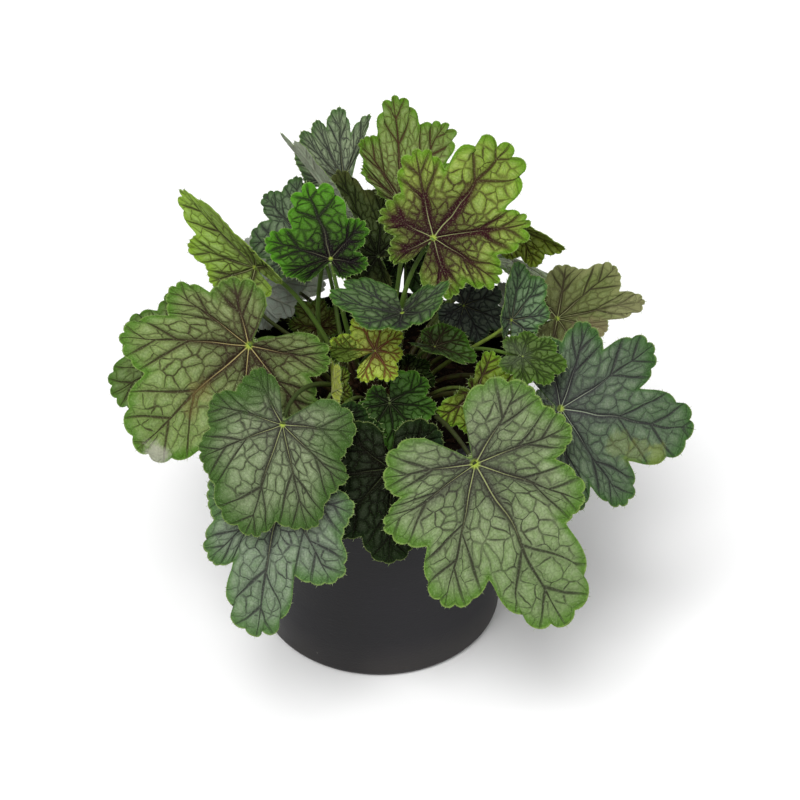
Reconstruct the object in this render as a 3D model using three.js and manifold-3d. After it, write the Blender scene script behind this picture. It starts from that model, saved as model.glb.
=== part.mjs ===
// A potted heuchera: a thin-walled round nursery pot filled with potting soil, a short woody
// crown sitting in the soil, and leaves that each stand on a petiole of their own in the crown.
// Millimetres, +Z up. The origin is the middle of the pot's underside, on the pot's axis.
import * as THREE from 'three';
import { mergeVertices } from 'three/addons/utils/BufferGeometryUtils.js';
import Module from 'manifold-3d';

const wasm = await Module();
wasm.setup();

// ---------------------------------------------------------------- driving dimensions
const GAP = 0.4; // clearance between pieces that touch

const POT = {
  height: 150, rimRadius: 75, baseRadius: 65, wall: 1.5, floor: 2,
  lipDepth: 11, lipOverhang: 1.6, edgeRound: 3, segments: 32,
  drainHoles: 6, drainRing: 42, drainRadius: 4.5, cornerSlots: 4, slotWidth: 9, slotHeight: 2.6,
};
const SOIL = { top: 134, crumb: 1.6, rings: 5, segments: 30 };
const CROWN = { radius: 27, sink: 9, rise: 9, segments: 20 };
const PETIOLE = { radius: 1.35, sides: 5, steps: 5, sink: 3.2, rise: 0.45, sweep: 0.3 };
const BLADE = { thickness: 0.8, ruffle: 0.03 };

// A leaf has seven lobes and six notches between them. For a usual leaf they stand at these
// angles, measured at the junction of blade and petiole from the tip's direction on each side.
const LOBE_ANGLES = [0, 41, 84, 130];
const NOTCH_ANGLES = [21, 62, 107, 170];
// Each lobe's and notch's angle, and its reach as a share of the leaf's, from left to right.
const LOBES = [[-130, 0.6], [-84, 0.72], [-41, 0.88], [0, 1], [41, 0.88], [84, 0.72], [130, 0.6]];
const NOTCHES = [[-107, 0.54], [-62, 0.65], [-21, 0.74], [21, 0.76], [62, 0.63], [107, 0.53]];
const OPEN = [-170, 170]; // where the outline turns in to the sinus
const BASE_NOTCH = 0.62; // its reach there as a share of the lowest lobe's
const SINUS = 0.05; // the blade's reach behind the junction, in the sinus
const TEETH_PITCH = 0.4; // spacing of the rounded teeth, as a share of half a lobe
const TOOTH_DEPTH = 0.075; // how deep they are, as a share of the edge of half a lobe

// Where a lobe's outline is sampled, as shares of its half-width: teeth and the dips between.
const SAMPLES = {
  fine: [-0.8, -0.4, -0.2, 0, 0.2, 0.4, 0.8, 1],
  medium: [-0.4, -0.2, 0, 0.2, 0.4, 1],
  coarse: [-0.4, 0, 0.4, 1],
};
// The rings of points inside the outline: their share of its reach, and their angles.
const LOBE_RING = [-180, -130, -84, -41, 0, 41, 84, 130];
const FULL_RING = [-180, -170, -130, -107, -84, -62, -41, -21, 0, 21, 41, 62, 84, 107, 130, 170];
const USUAL_ANGLES = [...FULL_RING, 180];
const RINGS = {
  fine: [{ share: 0.62, angles: FULL_RING }, { share: 0.28, angles: LOBE_RING }],
  medium: [{ share: 0.62, angles: FULL_RING }, { share: 0.28, angles: LOBE_RING }],
  coarse: [{ share: 0.5, angles: LOBE_RING }],
};

const COLOURS = {
  pot: 0x2c2b2f, soil: 0x3a2a1e, crown: 0x5a4630,
  silver: 0x7f9a7c, green: 0x5d8a3c, lime: 0x86a83a, shade: 0x2f4a2a, grey: 0x6f7d72,
};

// One entry for each leaf. at is the junction of blade and petiole; heading, pitch and roll turn
// the tip's direction; reach is junction to tip, and wide stretches the blade sideways. droop,
// arch and fold bend the blade along its length, across it and about its midrib, in degrees.
// A leaf that is not the usual one has its own lobes, notches and open, and teeth makes its
// teeth deeper. root is the petiole's foot on the crown: its distance from the axis and bearing.
const LEAVES = {
  // the large leaves in front and at the sides
  front_right: {
    at: [46, -83, 158], heading: -41, pitch: -48, roll: 38, reach: 91, droop: 16, arch: 18,
    lobes: [[-120, 0.49], [-80, 0.53], [-40, 0.6], [1, 1], [41, 0.77], [84, 0.58], [112, 0.48]],
    notches: [[-100, 0.47], [-63, 0.42], [-26, 0.58], [23, 0.62], [60, 0.5], [96, 0.42]],
    open: [-162, 148], root: [23, -57], detail: 'fine', tone: 'silver',
  },
  front_left: {
    at: [-43, -80, 179], heading: -104, pitch: -56, roll: -11, reach: 55, droop: 16, arch: 26,
    lobes: [[-92, 0.62], [-54, 0.73], [-20, 0.94], [11, 1.02], [60, 0.79], [98, 0.67], [143, 0.53]],
    notches: [[-66, 0.57], [-34, 0.77], [-3, 0.83], [41, 0.78], [79, 0.62], [117, 0.48]],
    open: [-132, 168], sweep: 0.36, teeth: 1.2, root: [17, -116], detail: 'fine', tone: 'silver',
  },
  low_left: {
    at: [-43, -88, 147], heading: -118, pitch: -62, roll: -20, reach: 82, droop: 16, arch: 26,
    lobes: [[-125, 0.32], [-82, 0.42], [-38, 0.63], [0, 0.97], [33, 0.64], [70, 0.47], [120, 0.34]],
    notches: [[-104, 0.3], [-60, 0.44], [-18, 0.52], [22, 0.54], [52, 0.46], [94, 0.36]],
    root: [23, -105], detail: 'fine', tone: 'grey',
  },
  left_large: {
    at: [-61, -34, 191], heading: -156, pitch: -34, roll: -45, reach: 77, droop: 18, arch: 18,
    lobes: [[-128, 0.52], [-90, 0.6], [-45, 0.8], [-1, 1], [44, 0.83], [76, 0.62], [116, 0.44]],
    notches: [[-112, 0.42], [-66, 0.56], [-24, 0.72], [26, 0.7], [61, 0.55], [94, 0.42]],
    open: [-155, 155], teeth: 1.2, root: [18, -158], detail: 'fine', tone: 'green',
  },
  right_large: {
    at: [88, -48, 164], heading: 3, pitch: -8, roll: 54, reach: 71, droop: 20, arch: 18,
    lobes: [[-108, 0.5], [-76, 0.62], [-37, 0.8], [4, 1], [50, 0.83], [77, 0.73], [116, 0.55]],
    notches: [[-93, 0.46], [-58, 0.5], [-18, 0.58], [32, 0.6], [63, 0.57], [96, 0.48]],
    open: [-140, 155], root: [23, -30], detail: 'fine', tone: 'grey',
  },
  back_right: {
    at: [91, 24, 167], heading: 20, pitch: 6, roll: 34, reach: 53, droop: 16, arch: 20,
    lobes: [[-108, 0.45], [-58, 0.6], [-24, 0.86], [3, 0.95], [30, 0.5], [75, 0.34], [120, 0.34]],
    notches: [[-84, 0.42], [-40, 0.64], [-8, 0.72], [18, 0.5], [54, 0.3], [98, 0.28]],
    root: [23, 28], detail: 'medium', tone: 'grey',
  },
  far_left: {
    at: [-86, -10, 171], heading: -172, pitch: -22, roll: -36, reach: 54, droop: 14, arch: 16,
    teeth: 1.2, root: [23, 182], detail: 'medium', tone: 'green',
  },
  // the upright leaves at the top
  top_right: {
    at: [27, -3, 232], heading: 43, pitch: 30, roll: 37, reach: 63, droop: 12, arch: 14,
    lobes: [[-158, 0.38], [-103, 0.46], [-50, 0.72], [-1, 1.02], [39, 0.78], [82, 0.61], [125, 0.48]],
    notches: [[-129, 0.29], [-75, 0.42], [-30, 0.54], [27, 0.6], [64, 0.5], [104, 0.42]],
    open: [-176, 162], teeth: 2, root: [5, 20], detail: 'fine', tone: 'lime',
  },
  top: {
    at: [12, 41, 224], heading: 94, pitch: 30, roll: -4, reach: 66, droop: 10, arch: 26,
    lobes: [[-58, 0.22], [-40, 0.46], [-25, 0.68], [0, 1], [28, 0.84], [60, 0.6], [105, 0.45]],
    notches: [[-50, 0.26], [-33, 0.5], [-14, 0.64], [14, 0.74], [46, 0.5], [84, 0.4]],
    open: [-66, 150], teeth: 1.8, root: [11, 72], detail: 'medium', tone: 'green',
  },
  top_left: {
    at: [-18, 78, 216], heading: 76, pitch: 27, roll: 9, reach: 52, droop: 12, fold: 26,
    lobes: [[-112, 0.44], [-84, 0.56], [-60, 0.64], [-39, 0.7], [-17, 0.86], [5, 0.85], [11, 0.45]],
    notches: [[-98, 0.48], [-72, 0.54], [-51, 0.58], [-32, 0.61], [-6, 0.57], [9, 0.6]],
    open: [-128, 14], root: [17, 95], detail: 'medium', tone: 'grey',
  },
  back_left: {
    at: [-39, 41, 205], heading: 152, pitch: 4, roll: -46, reach: 33, droop: 14, arch: 14,
    lobes: [[-120, 0.6], [-76, 0.75], [-24, 0.88], [26, 1], [60, 1], [90, 0.8], [125, 0.6]],
    notches: [[-98, 0.5], [-50, 0.65], [8, 0.62], [42, 0.85], [74, 0.7], [106, 0.55]],
    teeth: 1.3, root: [13, 160], detail: 'medium', tone: 'grey',
  },
  back_blade: {
    at: [-23, 44, 227], heading: 135, pitch: 31, roll: 60, reach: 42, fold: 12,
    wide: 0.6, root: [20, 165], detail: 'coarse', tone: 'grey',
  },
  left_folded: {
    at: [-60, 6, 209], heading: 146, pitch: 27, roll: -80, reach: 57, droop: 10, fold: 46,
    lobes: [[-110, 0.36], [-64, 0.5], [-30, 0.68], [6, 0.95], [42, 0.8], [76, 0.55], [115, 0.4]],
    notches: [[-86, 0.34], [-46, 0.5], [-18, 0.62], [22, 0.76], [60, 0.5], [96, 0.36]],
    wide: 0.8, teeth: 1.3, root: [13, 176], detail: 'medium', tone: 'green',
  },
  centre_left: {
    at: [-22, -9, 224], heading: 103, pitch: 42, roll: -11, reach: 41, droop: 12, arch: 20,
    lobes: [[-118, 0.44], [-97, 0.58], [-62, 0.82], [-8, 0.98], [50, 0.6], [108, 0.44], [152, 0.3]],
    notches: [[-108, 0.46], [-85, 0.62], [-41, 0.6], [31, 0.53], [83, 0.3], [130, 0.36]],
    open: [-130, 172], sweep: 0.15, teeth: 2, root: [7, 200], detail: 'medium', tone: 'green',
  },
  right_edge: {
    at: [70, 44, 208], heading: -16, pitch: -20, roll: 110, reach: 26, fold: 30,
    sweep: 0.2, root: [17, 30], detail: 'coarse', tone: 'green',
  },
  stalked_right: {
    at: [66, -1, 183], heading: 74, pitch: 52, roll: 48, reach: 29, droop: 8, fold: 40,
    lobes: [[-135, 0.4], [-90, 0.6], [-45, 0.85], [0, 1], [30, 0.9], [70, 0.68], [115, 0.5]],
    notches: [[-112, 0.4], [-66, 0.6], [-24, 0.8], [15, 0.84], [50, 0.68], [92, 0.48]],
    sweep: 0.2, root: [20, 5], detail: 'coarse', tone: 'shade',
  },
  // the smaller leaves inside
  centre_fold: {
    at: [12, -36.5, 212], heading: -92, pitch: 2, roll: 12, reach: 36, droop: 10, fold: 30,
    lobes: [[-130, 0.5], [-88, 0.72], [-50, 0.74], [0, 0.42], [46, 0.7], [84, 0.9], [130, 0.92]],
    notches: [[-108, 0.5], [-68, 0.64], [-22, 0.4], [22, 0.4], [66, 0.66], [110, 0.74]],
    wide: 1.1, sweep: 0.4, root: [7, -85], detail: 'medium', tone: 'shade',
  },
  middle_yellow: {
    at: [-1, -27, 183], heading: 21, pitch: 26, roll: 48, reach: 20, droop: -20, arch: -20,
    lobes: [[-145, 1.15], [-84, 0.98], [-42, 0.95], [0, 0.8], [41, 0.68], [90, 0.85], [148, 0.82]],
    notches: [[-112, 0.7], [-62, 0.72], [-21, 0.68], [21, 0.56], [64, 0.6], [120, 0.62]],
    teeth: 1.6, root: [8, -135], detail: 'coarse', tone: 'lime',
  },
  red_centre: {
    at: [13, -19, 162], heading: 2, pitch: -14, roll: 54, reach: 16, droop: -20, arch: -20,
    teeth: 1.6, root: [10, -30], detail: 'coarse', tone: 'shade',
  },
  low_centre: {
    at: [6, -46, 166], heading: -81, pitch: -36, roll: 7, reach: 25, droop: 10, arch: 20,
    lobes: [[-115, 0.88], [-78, 0.92], [-38, 1.04], [0, 1], [38, 0.9], [84, 0.75], [130, 0.5]],
    notches: [[-96, 0.72], [-58, 0.8], [-18, 0.78], [20, 0.68], [60, 0.6], [106, 0.45]],
    teeth: 1.5, root: [17, -85], detail: 'coarse', tone: 'shade',
  },
  folded_right: {
    at: [28, -16, 178], heading: -19, pitch: -8, roll: 0, reach: 23, droop: 8, fold: 30,
    lobes: [[-130, 0.5], [-84, 0.6], [-41, 0.75], [0, 0.95], [41, 1], [84, 0.8], [130, 0.6]],
    root: [13, -8], detail: 'coarse', tone: 'green',
  },
  right_yellow: {
    at: [47, -41, 167], heading: -31, pitch: -34, roll: 43, reach: 28, droop: 14, arch: 14,
    lobes: [[-150, 0.3], [-112, 0.82], [-60, 0.98], [0, 0.6], [50, 0.7], [100, 0.78], [150, 0.3]],
    notches: [[-138, 0.28], [-84, 0.7], [-26, 0.6], [26, 0.55], [76, 0.6], [134, 0.35]],
    teeth: 1.6, root: [22, -48], detail: 'coarse', tone: 'lime',
  },
  right_small: {
    at: [69, -41, 190], heading: -6, pitch: -8, roll: 18, reach: 22, droop: 10, arch: 10,
    sweep: 0.05, root: [20, 22], detail: 'coarse', tone: 'shade',
  },
  grey_shadow: {
    at: [43, 19, 178], heading: -4, pitch: -22, roll: 54, reach: 24, droop: 10, arch: 10,
    root: [17, 12], detail: 'coarse', tone: 'grey',
  },
  front_dark: {
    at: [6, -80, 153], heading: -88, pitch: -70, roll: -4, reach: 50, droop: 12, arch: 24,
    sweep: 0.03, root: [25, -95], detail: 'medium', tone: 'shade',
  },
  behind_front: {
    at: [-18, -71, 167], heading: -64, pitch: -64, roll: 30, reach: 30, droop: 10, arch: 10,
    root: [17, -100], detail: 'coarse', tone: 'shade',
  },
  shade_back: {
    at: [-30, 18, 165], heading: 137, pitch: 30, roll: -36, reach: 18, droop: 10, arch: 10,
    root: [17, 150], detail: 'coarse', tone: 'lime',
  },
  thin_edge: {
    at: [-21, -41, 168], heading: 94, pitch: 48, roll: 76, reach: 18, fold: 40,
    root: [20, -144], detail: 'coarse', tone: 'lime',
  },
  back_dark: {
    at: [0, 34, 198], heading: 139, pitch: 28, roll: -30, reach: 38, droop: 10, arch: 16,
    lobes: [[-152, 0.52], [-105, 0.58], [-52, 0.66], [-15, 0.82], [18, 1.36], [46, 0.96], [88, 0.8]],
    notches: [[-128, 0.4], [-80, 0.52], [-34, 0.62], [4, 0.88], [30, 0.98], [66, 0.76]],
    open: [-168, 122], root: [12, 96], detail: 'medium', tone: 'shade',
  },
  under_left: {
    at: [-61, 52, 164], heading: 40, pitch: 48, roll: -165, reach: 35, droop: 10, arch: 20,
    root: [23, 150], detail: 'coarse', tone: 'grey',
  },
  // the leaves behind, hidden from the front
  rear_left: {
    at: [-91, 64, 147], heading: 142, pitch: -50, roll: 0, reach: 56, droop: 20, arch: 20,
    root: [23, 132], detail: 'medium', tone: 'silver',
  },
  rear_centre: {
    at: [-12, 100, 174], heading: 100, pitch: -40, roll: 4, reach: 66, droop: 20, arch: 20,
    root: [23, 106], detail: 'medium', tone: 'silver',
  },
  rear_right: {
    at: [69, 78, 168], heading: 50, pitch: -32, roll: 0, reach: 64, droop: 20, arch: 20,
    root: [23, 55], detail: 'medium', tone: 'silver',
  },
  rear_low_left: {
    at: [-52, 84, 150], heading: 121, pitch: -46, roll: 0, reach: 52, droop: 16, arch: 24,
    root: [23, 122], detail: 'medium', tone: 'grey',
  },
  rear_high: {
    at: [14, 56, 182], heading: 84, pitch: 40, roll: 0, reach: 42, droop: 16, arch: 20,
    root: [17, 60], detail: 'medium', tone: 'green',
  },
  rear_low_right: {
    at: [84, 50, 146], heading: 32, pitch: -66, roll: 0, reach: 50, droop: 16, arch: 24,
    root: [23, 38], detail: 'medium', tone: 'grey',
  },
  side_left: {
    at: [-91, 14, 150], heading: 172, pitch: -50, roll: -6, reach: 48, droop: 16, arch: 20,
    root: [23, 165], detail: 'medium', tone: 'grey',
  },
  side_right: {
    at: [90, -24, 145], heading: -4, pitch: -62, roll: 10, reach: 46, droop: 14, arch: 18,
    root: [23, 2], detail: 'medium', tone: 'grey',
  },
};

// ---------------------------------------------------------------- small helpers
const radians = THREE.MathUtils.degToRad;
const vec = (x, y, z) => new THREE.Vector3(x, y, z);

// A repeatable number from 0 to 1 for a whole-number key.
function chance(key) {
  const s = Math.sin(key * 12.9898 + 4.1414) * 43758.5453;
  return s - Math.floor(s);
}

function toSolid(geometry) {
  const bare = new THREE.BufferGeometry();
  bare.setAttribute('position', geometry.getAttribute('position'));
  if (geometry.index) bare.setIndex(geometry.index);
  const merged = mergeVertices(bare, 1e-3);
  return new wasm.Manifold(new wasm.Mesh({
    numProp: 3,
    vertProperties: new Float32Array(merged.attributes.position.array),
    triVerts: new Uint32Array(merged.index.array),
  }));
}

function toGeometry(solid) {
  const mesh = solid.getMesh();
  const geometry = new THREE.BufferGeometry();
  geometry.setAttribute('position', new THREE.BufferAttribute(new Float32Array(mesh.vertProperties), 3));
  geometry.setIndex(new THREE.BufferAttribute(new Uint32Array(mesh.triVerts), 1));
  geometry.computeVertexNormals();
  return geometry;
}

function lathe(profile, segments) {
  const points = profile.map(([r, z]) => new THREE.Vector2(r, z));
  return new THREE.LatheGeometry(points, segments).rotateX(Math.PI / 2);
}

// ---------------------------------------------------------------- leaf outline
// The outline's distance from the junction without its teeth, and how far they cut into it, for
// a leaf of reach 1. The angle is a usual leaf's: realAngle turns it into this leaf's own.
function outline(leaf, degrees) {
  const size = Math.abs(degrees);
  const step = NOTCH_ANGLES.findIndex((angle) => size <= angle);
  if (step < 0) return { body: SINUS, tooth: 0 };
  const lobes = leaf.lobes ?? LOBES;
  const notches = leaf.notches ?? NOTCHES;
  const right = degrees > 0;
  const [angle, reach] = lobes[right ? 3 + step : 3 - step];
  const notchStep = size >= LOBE_ANGLES[step] ? step : step - 1;
  const share = Math.abs((size - LOBE_ANGLES[step]) / (NOTCH_ANGLES[notchStep] - LOBE_ANGLES[step]));
  const base = [(leaf.open ?? OPEN)[right ? 1 : 0], BASE_NOTCH * reach];
  const [notchAngle, notch] = notchStep > 2 ? base : notches[right ? 3 + notchStep : 2 - notchStep];
  const gap = radians(notchAngle - angle);
  const edge = Math.hypot(reach * Math.cos(gap) - notch, reach * Math.sin(gap));
  const dip = (1 - Math.abs(Math.cos((Math.PI * share) / TEETH_PITCH))) * (1 - share ** 6);
  return {
    body: reach - (reach - notch) * share ** 2.2,
    tooth: TOOTH_DEPTH * (leaf.teeth ?? 1) * edge * dip,
  };
}

// A leaf's own angle for one of a usual leaf's.
function realAngle(leaf, degrees) {
  const lobes = (leaf.lobes ?? LOBES).map(([angle]) => angle);
  const notches = (leaf.notches ?? NOTCHES).map(([angle]) => angle);
  const [left, right] = leaf.open ?? OPEN;
  const points = lobes.flatMap((angle, i) => (i ? [notches[i - 1], angle] : [angle]));
  const own = [-180, left, ...points, right, 180];
  const i = USUAL_ANGLES.findIndex((angle) => degrees <= angle);
  if (i < 1) return own[0];
  const share = (degrees - USUAL_ANGLES[i - 1]) / (USUAL_ANGLES[i] - USUAL_ANGLES[i - 1]);
  return own[i - 1] + share * (own[i] - own[i - 1]);
}

// A point of the outline without its teeth, across and towards the tip.
function edgePoint(leaf, degrees) {
  const { body } = outline(leaf, degrees);
  const turn = radians(realAngle(leaf, degrees));
  return [body * Math.sin(turn), body * Math.cos(turn)];
}

// A point of the outline, or of the same outline shrunk towards the junction.
function bladePoint(leaf, degrees, share) {
  const [x, y] = edgePoint(leaf, degrees);
  if (share < 1) return [share * x, share * y];
  const before = edgePoint(leaf, Math.max(degrees - 1, -180));
  const after = edgePoint(leaf, Math.min(degrees + 1, 180));
  const along = [after[0] - before[0], after[1] - before[1]];
  const dip = outline(leaf, degrees).tooth / Math.hypot(...along);
  return [x + dip * along[1], y - dip * along[0]];
}

// Angles at which the outline is sampled, from behind the junction right round to it again.
function outlineAngles(detail) {
  const half = [];
  LOBE_ANGLES.forEach((lobe, i) => {
    const shares = SAMPLES[detail].filter((share) => i > 0 || share >= 0);
    shares.forEach((share) => {
      const span = share < 0 ? lobe - NOTCH_ANGLES[i - 1] : NOTCH_ANGLES[i] - lobe;
      half.push(lobe + share * span);
    });
  });
  const mirrored = half.filter((angle) => angle > 0).reverse().map((angle) => -angle);
  return [-180, ...mirrored, ...half];
}

// ---------------------------------------------------------------- leaf blade
// A flat blade point (x across, y towards the tip) bent into its real form.
function bend(leaf, x, y) {
  const along = radians(leaf.droop ?? 0) / leaf.reach;
  const across = radians(leaf.arch ?? 0) / leaf.reach;
  const fold = radians(leaf.fold ?? 0);
  const crease = 0.1 * leaf.reach;
  const far = Math.hypot(x, y) / leaf.reach;
  const roll = (length, k) => (Math.abs(k) < 1e-6 ? length : Math.sin(k * length) / k);
  const sink = (length, k) => (Math.abs(k) < 1e-6 ? 0 : (1 - Math.cos(k * length)) / k);
  const flatX = roll(x, across);
  const rounded = Math.hypot(flatX, crease);
  const foldedX = flatX * (Math.cos(fold) + ((1 - Math.cos(fold)) * crease) / rounded);
  const lift = Math.sin(fold) * (rounded - crease);
  const wave = BLADE.ruffle * leaf.reach * far ** 2
    * Math.sin(5 * Math.atan2(x, y) + 6.28 * chance(leaf.seed));
  return vec(foldedX, roll(y, along), lift + wave - sink(y, along) - sink(x, across));
}

function bladeNormal(leaf, x, y) {
  const step = 0.5;
  const dx = bend(leaf, x + step, y).sub(bend(leaf, x - step, y));
  const dy = bend(leaf, x, y + step).sub(bend(leaf, x, y - step));
  return dx.cross(dy).normalize();
}

// Triangles between two rings of points sorted by angle, both starting at the same angle.
function stitch(outer, inner, triangles) {
  let i = 0;
  let j = 0;
  const at = (ring, k) => (k < ring.length ? ring[k].angle : ring[0].angle + 360);
  while (i < outer.length || j < inner.length) {
    const a = outer[i % outer.length].index;
    const b = inner[j % inner.length].index;
    const takeOuter = j >= inner.length || (i < outer.length && at(outer, i + 1) <= at(inner, j + 1));
    if (takeOuter) triangles.push([a, b, outer[(i + 1) % outer.length].index]);
    else triangles.push([a, b, inner[(j + 1) % inner.length].index]);
    if (takeOuter) i += 1;
    else j += 1;
  }
}

function bladeGeometry(leaf) {
  const flat = [[0, 0]];
  const ring = (angles, share) => angles.map((angle) => {
    const [x, y] = bladePoint(leaf, angle, share);
    flat.push([x * leaf.reach * (leaf.wide ?? 1), y * leaf.reach]);
    return { angle, index: flat.length - 1 };
  });
  const edge = ring(outlineAngles(leaf.detail), 1);
  const rings = [edge, ...RINGS[leaf.detail].map(({ share, angles }) => ring(angles, share))];
  const last = rings[rings.length - 1];
  const face = [];
  rings.slice(1).forEach((inner, i) => stitch(rings[i], inner, face));
  last.forEach((p, i) => face.push([p.index, 0, last[(i + 1) % last.length].index]));

  const upper = flat.map(([x, y]) => bend(leaf, x, y));
  const lower = flat.map(([x, y], i) => upper[i].clone()
    .addScaledVector(bladeNormal(leaf, x, y), -BLADE.thickness));
  const count = flat.length;
  const indices = [];
  face.forEach(([a, b, c]) => indices.push(a, b, c, a + count, c + count, b + count));
  edge.forEach((p, i) => {
    const a = p.index;
    const b = edge[(i + 1) % edge.length].index;
    indices.push(a, b, a + count, b, b + count, a + count);
  });
  const geometry = new THREE.BufferGeometry().setFromPoints([...upper, ...lower]);
  geometry.setIndex(indices);
  return geometry;
}

// ---------------------------------------------------------------- leaf placing
// The matrix whose axes are across the blade, along it to the tip, and out of its upper face.
function leafMatrix(leaf) {
  const heading = radians(leaf.heading);
  const pitch = radians(leaf.pitch);
  const level = Math.cos(pitch);
  const tip = vec(Math.cos(heading) * level, Math.sin(heading) * level, Math.sin(pitch));
  const up = vec(0, 0, 1).addScaledVector(tip, -tip.z).normalize();
  up.applyAxisAngle(tip, radians(leaf.roll));
  const across = tip.clone().cross(up);
  return new THREE.Matrix4().makeBasis(across, tip, up).setPosition(...leaf.at);
}

const crownTop = (distance) => SOIL.top + CROWN.rise * Math.sqrt(1 - (distance / CROWN.radius) ** 2);

// The petiole's line, from its foot in the crown to the underside of the blade.
function petiolePath(leaf) {
  const [distance, bearing] = leaf.root;
  const across = vec();
  const tip = vec();
  const up = vec();
  leafMatrix(leaf).extractBasis(across, tip, up);
  const end = vec(...leaf.at).addScaledVector(up, -BLADE.thickness / 2);
  const out = vec(Math.cos(radians(bearing)), Math.sin(radians(bearing)), 0);
  const rising = vec(0, 0, 1).addScaledVector(out, distance / CROWN.radius).normalize();
  const foot = out.clone().multiplyScalar(distance).setZ(crownTop(distance));
  foot.addScaledVector(rising, -PETIOLE.sink);
  const arriving = tip.clone().multiplyScalar(0.9).addScaledVector(up, 0.6).normalize();
  const span = foot.distanceTo(end);
  return new THREE.CubicBezierCurve3(
    foot,
    foot.clone().addScaledVector(rising, PETIOLE.rise * span),
    end.clone().addScaledVector(arriving, -(leaf.sweep ?? PETIOLE.sweep) * span),
    end,
  );
}

function tube(path, radius, sides, steps) {
  const section = new THREE.Shape();
  for (let i = 0; i < sides; i += 1) {
    const turn = (2 * Math.PI * i) / sides;
    section[i ? 'lineTo' : 'moveTo'](radius * Math.cos(turn), radius * Math.sin(turn));
  }
  section.closePath();
  return new THREE.ExtrudeGeometry(section, { steps, extrudePath: path, bevelEnabled: false });
}

// Blade and petiole grown as one, in the leaf's own frame with the junction at its origin.
function leafSolid(leaf) {
  const petiole = tube(petiolePath(leaf), PETIOLE.radius, PETIOLE.sides, PETIOLE.steps);
  petiole.applyMatrix4(leafMatrix(leaf).invert());
  return toSolid(bladeGeometry(leaf)).add(toSolid(petiole));
}

// ---------------------------------------------------------------- pot
function potSolid() {
  const { height, rimRadius, baseRadius, wall, floor, lipDepth, lipOverhang, edgeRound } = POT;
  const shoulder = height - lipDepth;
  const body = rimRadius - lipOverhang;
  const profile = [
    [0, 0], [baseRadius - edgeRound, 0], [baseRadius - 0.3 * edgeRound, 0.3 * edgeRound],
    [baseRadius, edgeRound], [body, shoulder], [rimRadius, shoulder + 1], [rimRadius, height - 0.8],
    [rimRadius - 0.8, height], [rimRadius - wall - 1, height], [rimRadius - wall - 1.4, height - 1],
    [body - wall, shoulder - 3], [baseRadius - wall, floor + edgeRound],
    [baseRadius - wall - edgeRound, floor], [0, floor],
  ];
  let solid = toSolid(lathe(profile, POT.segments));
  for (let i = 0; i < POT.drainHoles; i += 1) {
    const turn = (2 * Math.PI * i) / POT.drainHoles;
    const hole = new THREE.CylinderGeometry(POT.drainRadius, POT.drainRadius, 4 * floor, 10);
    hole.rotateX(Math.PI / 2);
    hole.translate(POT.drainRing * Math.cos(turn), POT.drainRing * Math.sin(turn), 0);
    solid = solid.subtract(toSolid(hole));
  }
  for (let i = 0; i < POT.cornerSlots; i += 1) {
    const slot = new THREE.BoxGeometry(3 * edgeRound, POT.slotWidth, 2 * POT.slotHeight);
    slot.translate(baseRadius, 0, 0);
    slot.rotateZ((2 * Math.PI * (i + 0.5)) / POT.cornerSlots);
    solid = solid.subtract(toSolid(slot));
  }
  return solid;
}

// ---------------------------------------------------------------- soil and crown
// Inner radius of the pot at a height.
function potInside(z) {
  const low = POT.floor + POT.edgeRound;
  const high = POT.height - POT.lipDepth - 3;
  const share = (z - low) / (high - low);
  const wide = POT.rimRadius - POT.lipOverhang - POT.wall;
  return THREE.MathUtils.lerp(POT.baseRadius - POT.wall, wide, share);
}

function soilSolid() {
  const bottom = POT.floor + GAP;
  const low = POT.floor + POT.edgeRound + GAP;
  const flat = POT.baseRadius - POT.wall - POT.edgeRound - GAP;
  const profile = [[0, bottom], [flat, bottom], [potInside(low) - GAP, low]];
  const edge = potInside(SOIL.top - 2) - 2 * GAP;
  for (let ring = 0; ring <= SOIL.rings; ring += 1) {
    const share = 1 - ring / SOIL.rings;
    profile.push([edge * share, SOIL.top - 2 * share ** 2]);
  }
  const geometry = lathe(profile, SOIL.segments);
  const spot = geometry.getAttribute('position');
  for (let i = 0; i < spot.count; i += 1) {
    const x = spot.getX(i);
    const y = spot.getY(i);
    const inside = Math.hypot(x, y) < edge - 1;
    if (spot.getZ(i) > low + 1 && inside && Math.hypot(x, y) > 1) {
      const wide = Math.sin(0.31 * x + 1.3) * Math.cos(0.27 * y);
      const fine = 0.6 * Math.sin(0.53 * (x - y));
      spot.setZ(i, spot.getZ(i) + SOIL.crumb * (wide + fine));
    }
  }
  const pitRadius = CROWN.radius + GAP;
  const pitHeight = 2 * (CROWN.sink + GAP) + 6;
  const pit = new THREE.CylinderGeometry(pitRadius, pitRadius, pitHeight, CROWN.segments);
  pit.rotateX(Math.PI / 2).translate(0, 0, SOIL.top + 3);
  return toSolid(geometry).subtract(toSolid(pit));
}

// A plain straight hole for a petiole's foot, a little wider and deeper than the foot.
function petioleHole(leaf) {
  const path = petiolePath(leaf);
  const foot = path.getPointAt(0);
  const along = path.getPointAt(1 / PETIOLE.steps).sub(foot).normalize();
  const bottom = foot.clone().addScaledVector(along, -GAP);
  const mouth = foot.clone().addScaledVector(along, PETIOLE.sink + CROWN.rise);
  return tube(new THREE.LineCurve3(bottom, mouth), PETIOLE.radius + 1.5 * GAP, 6, 1);
}

function crownSolid(leaves) {
  const profile = [[0, SOIL.top - CROWN.sink], [CROWN.radius, SOIL.top - CROWN.sink]];
  for (let i = 0; i <= 4; i += 1) {
    const distance = CROWN.radius * Math.cos((Math.PI / 2) * (i / 4));
    profile.push([distance, crownTop(distance)]);
  }
  let solid = toSolid(lathe(profile, CROWN.segments));
  leaves.forEach((leaf) => {
    solid = solid.subtract(toSolid(petioleHole(leaf)));
  });
  return solid;
}

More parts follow.
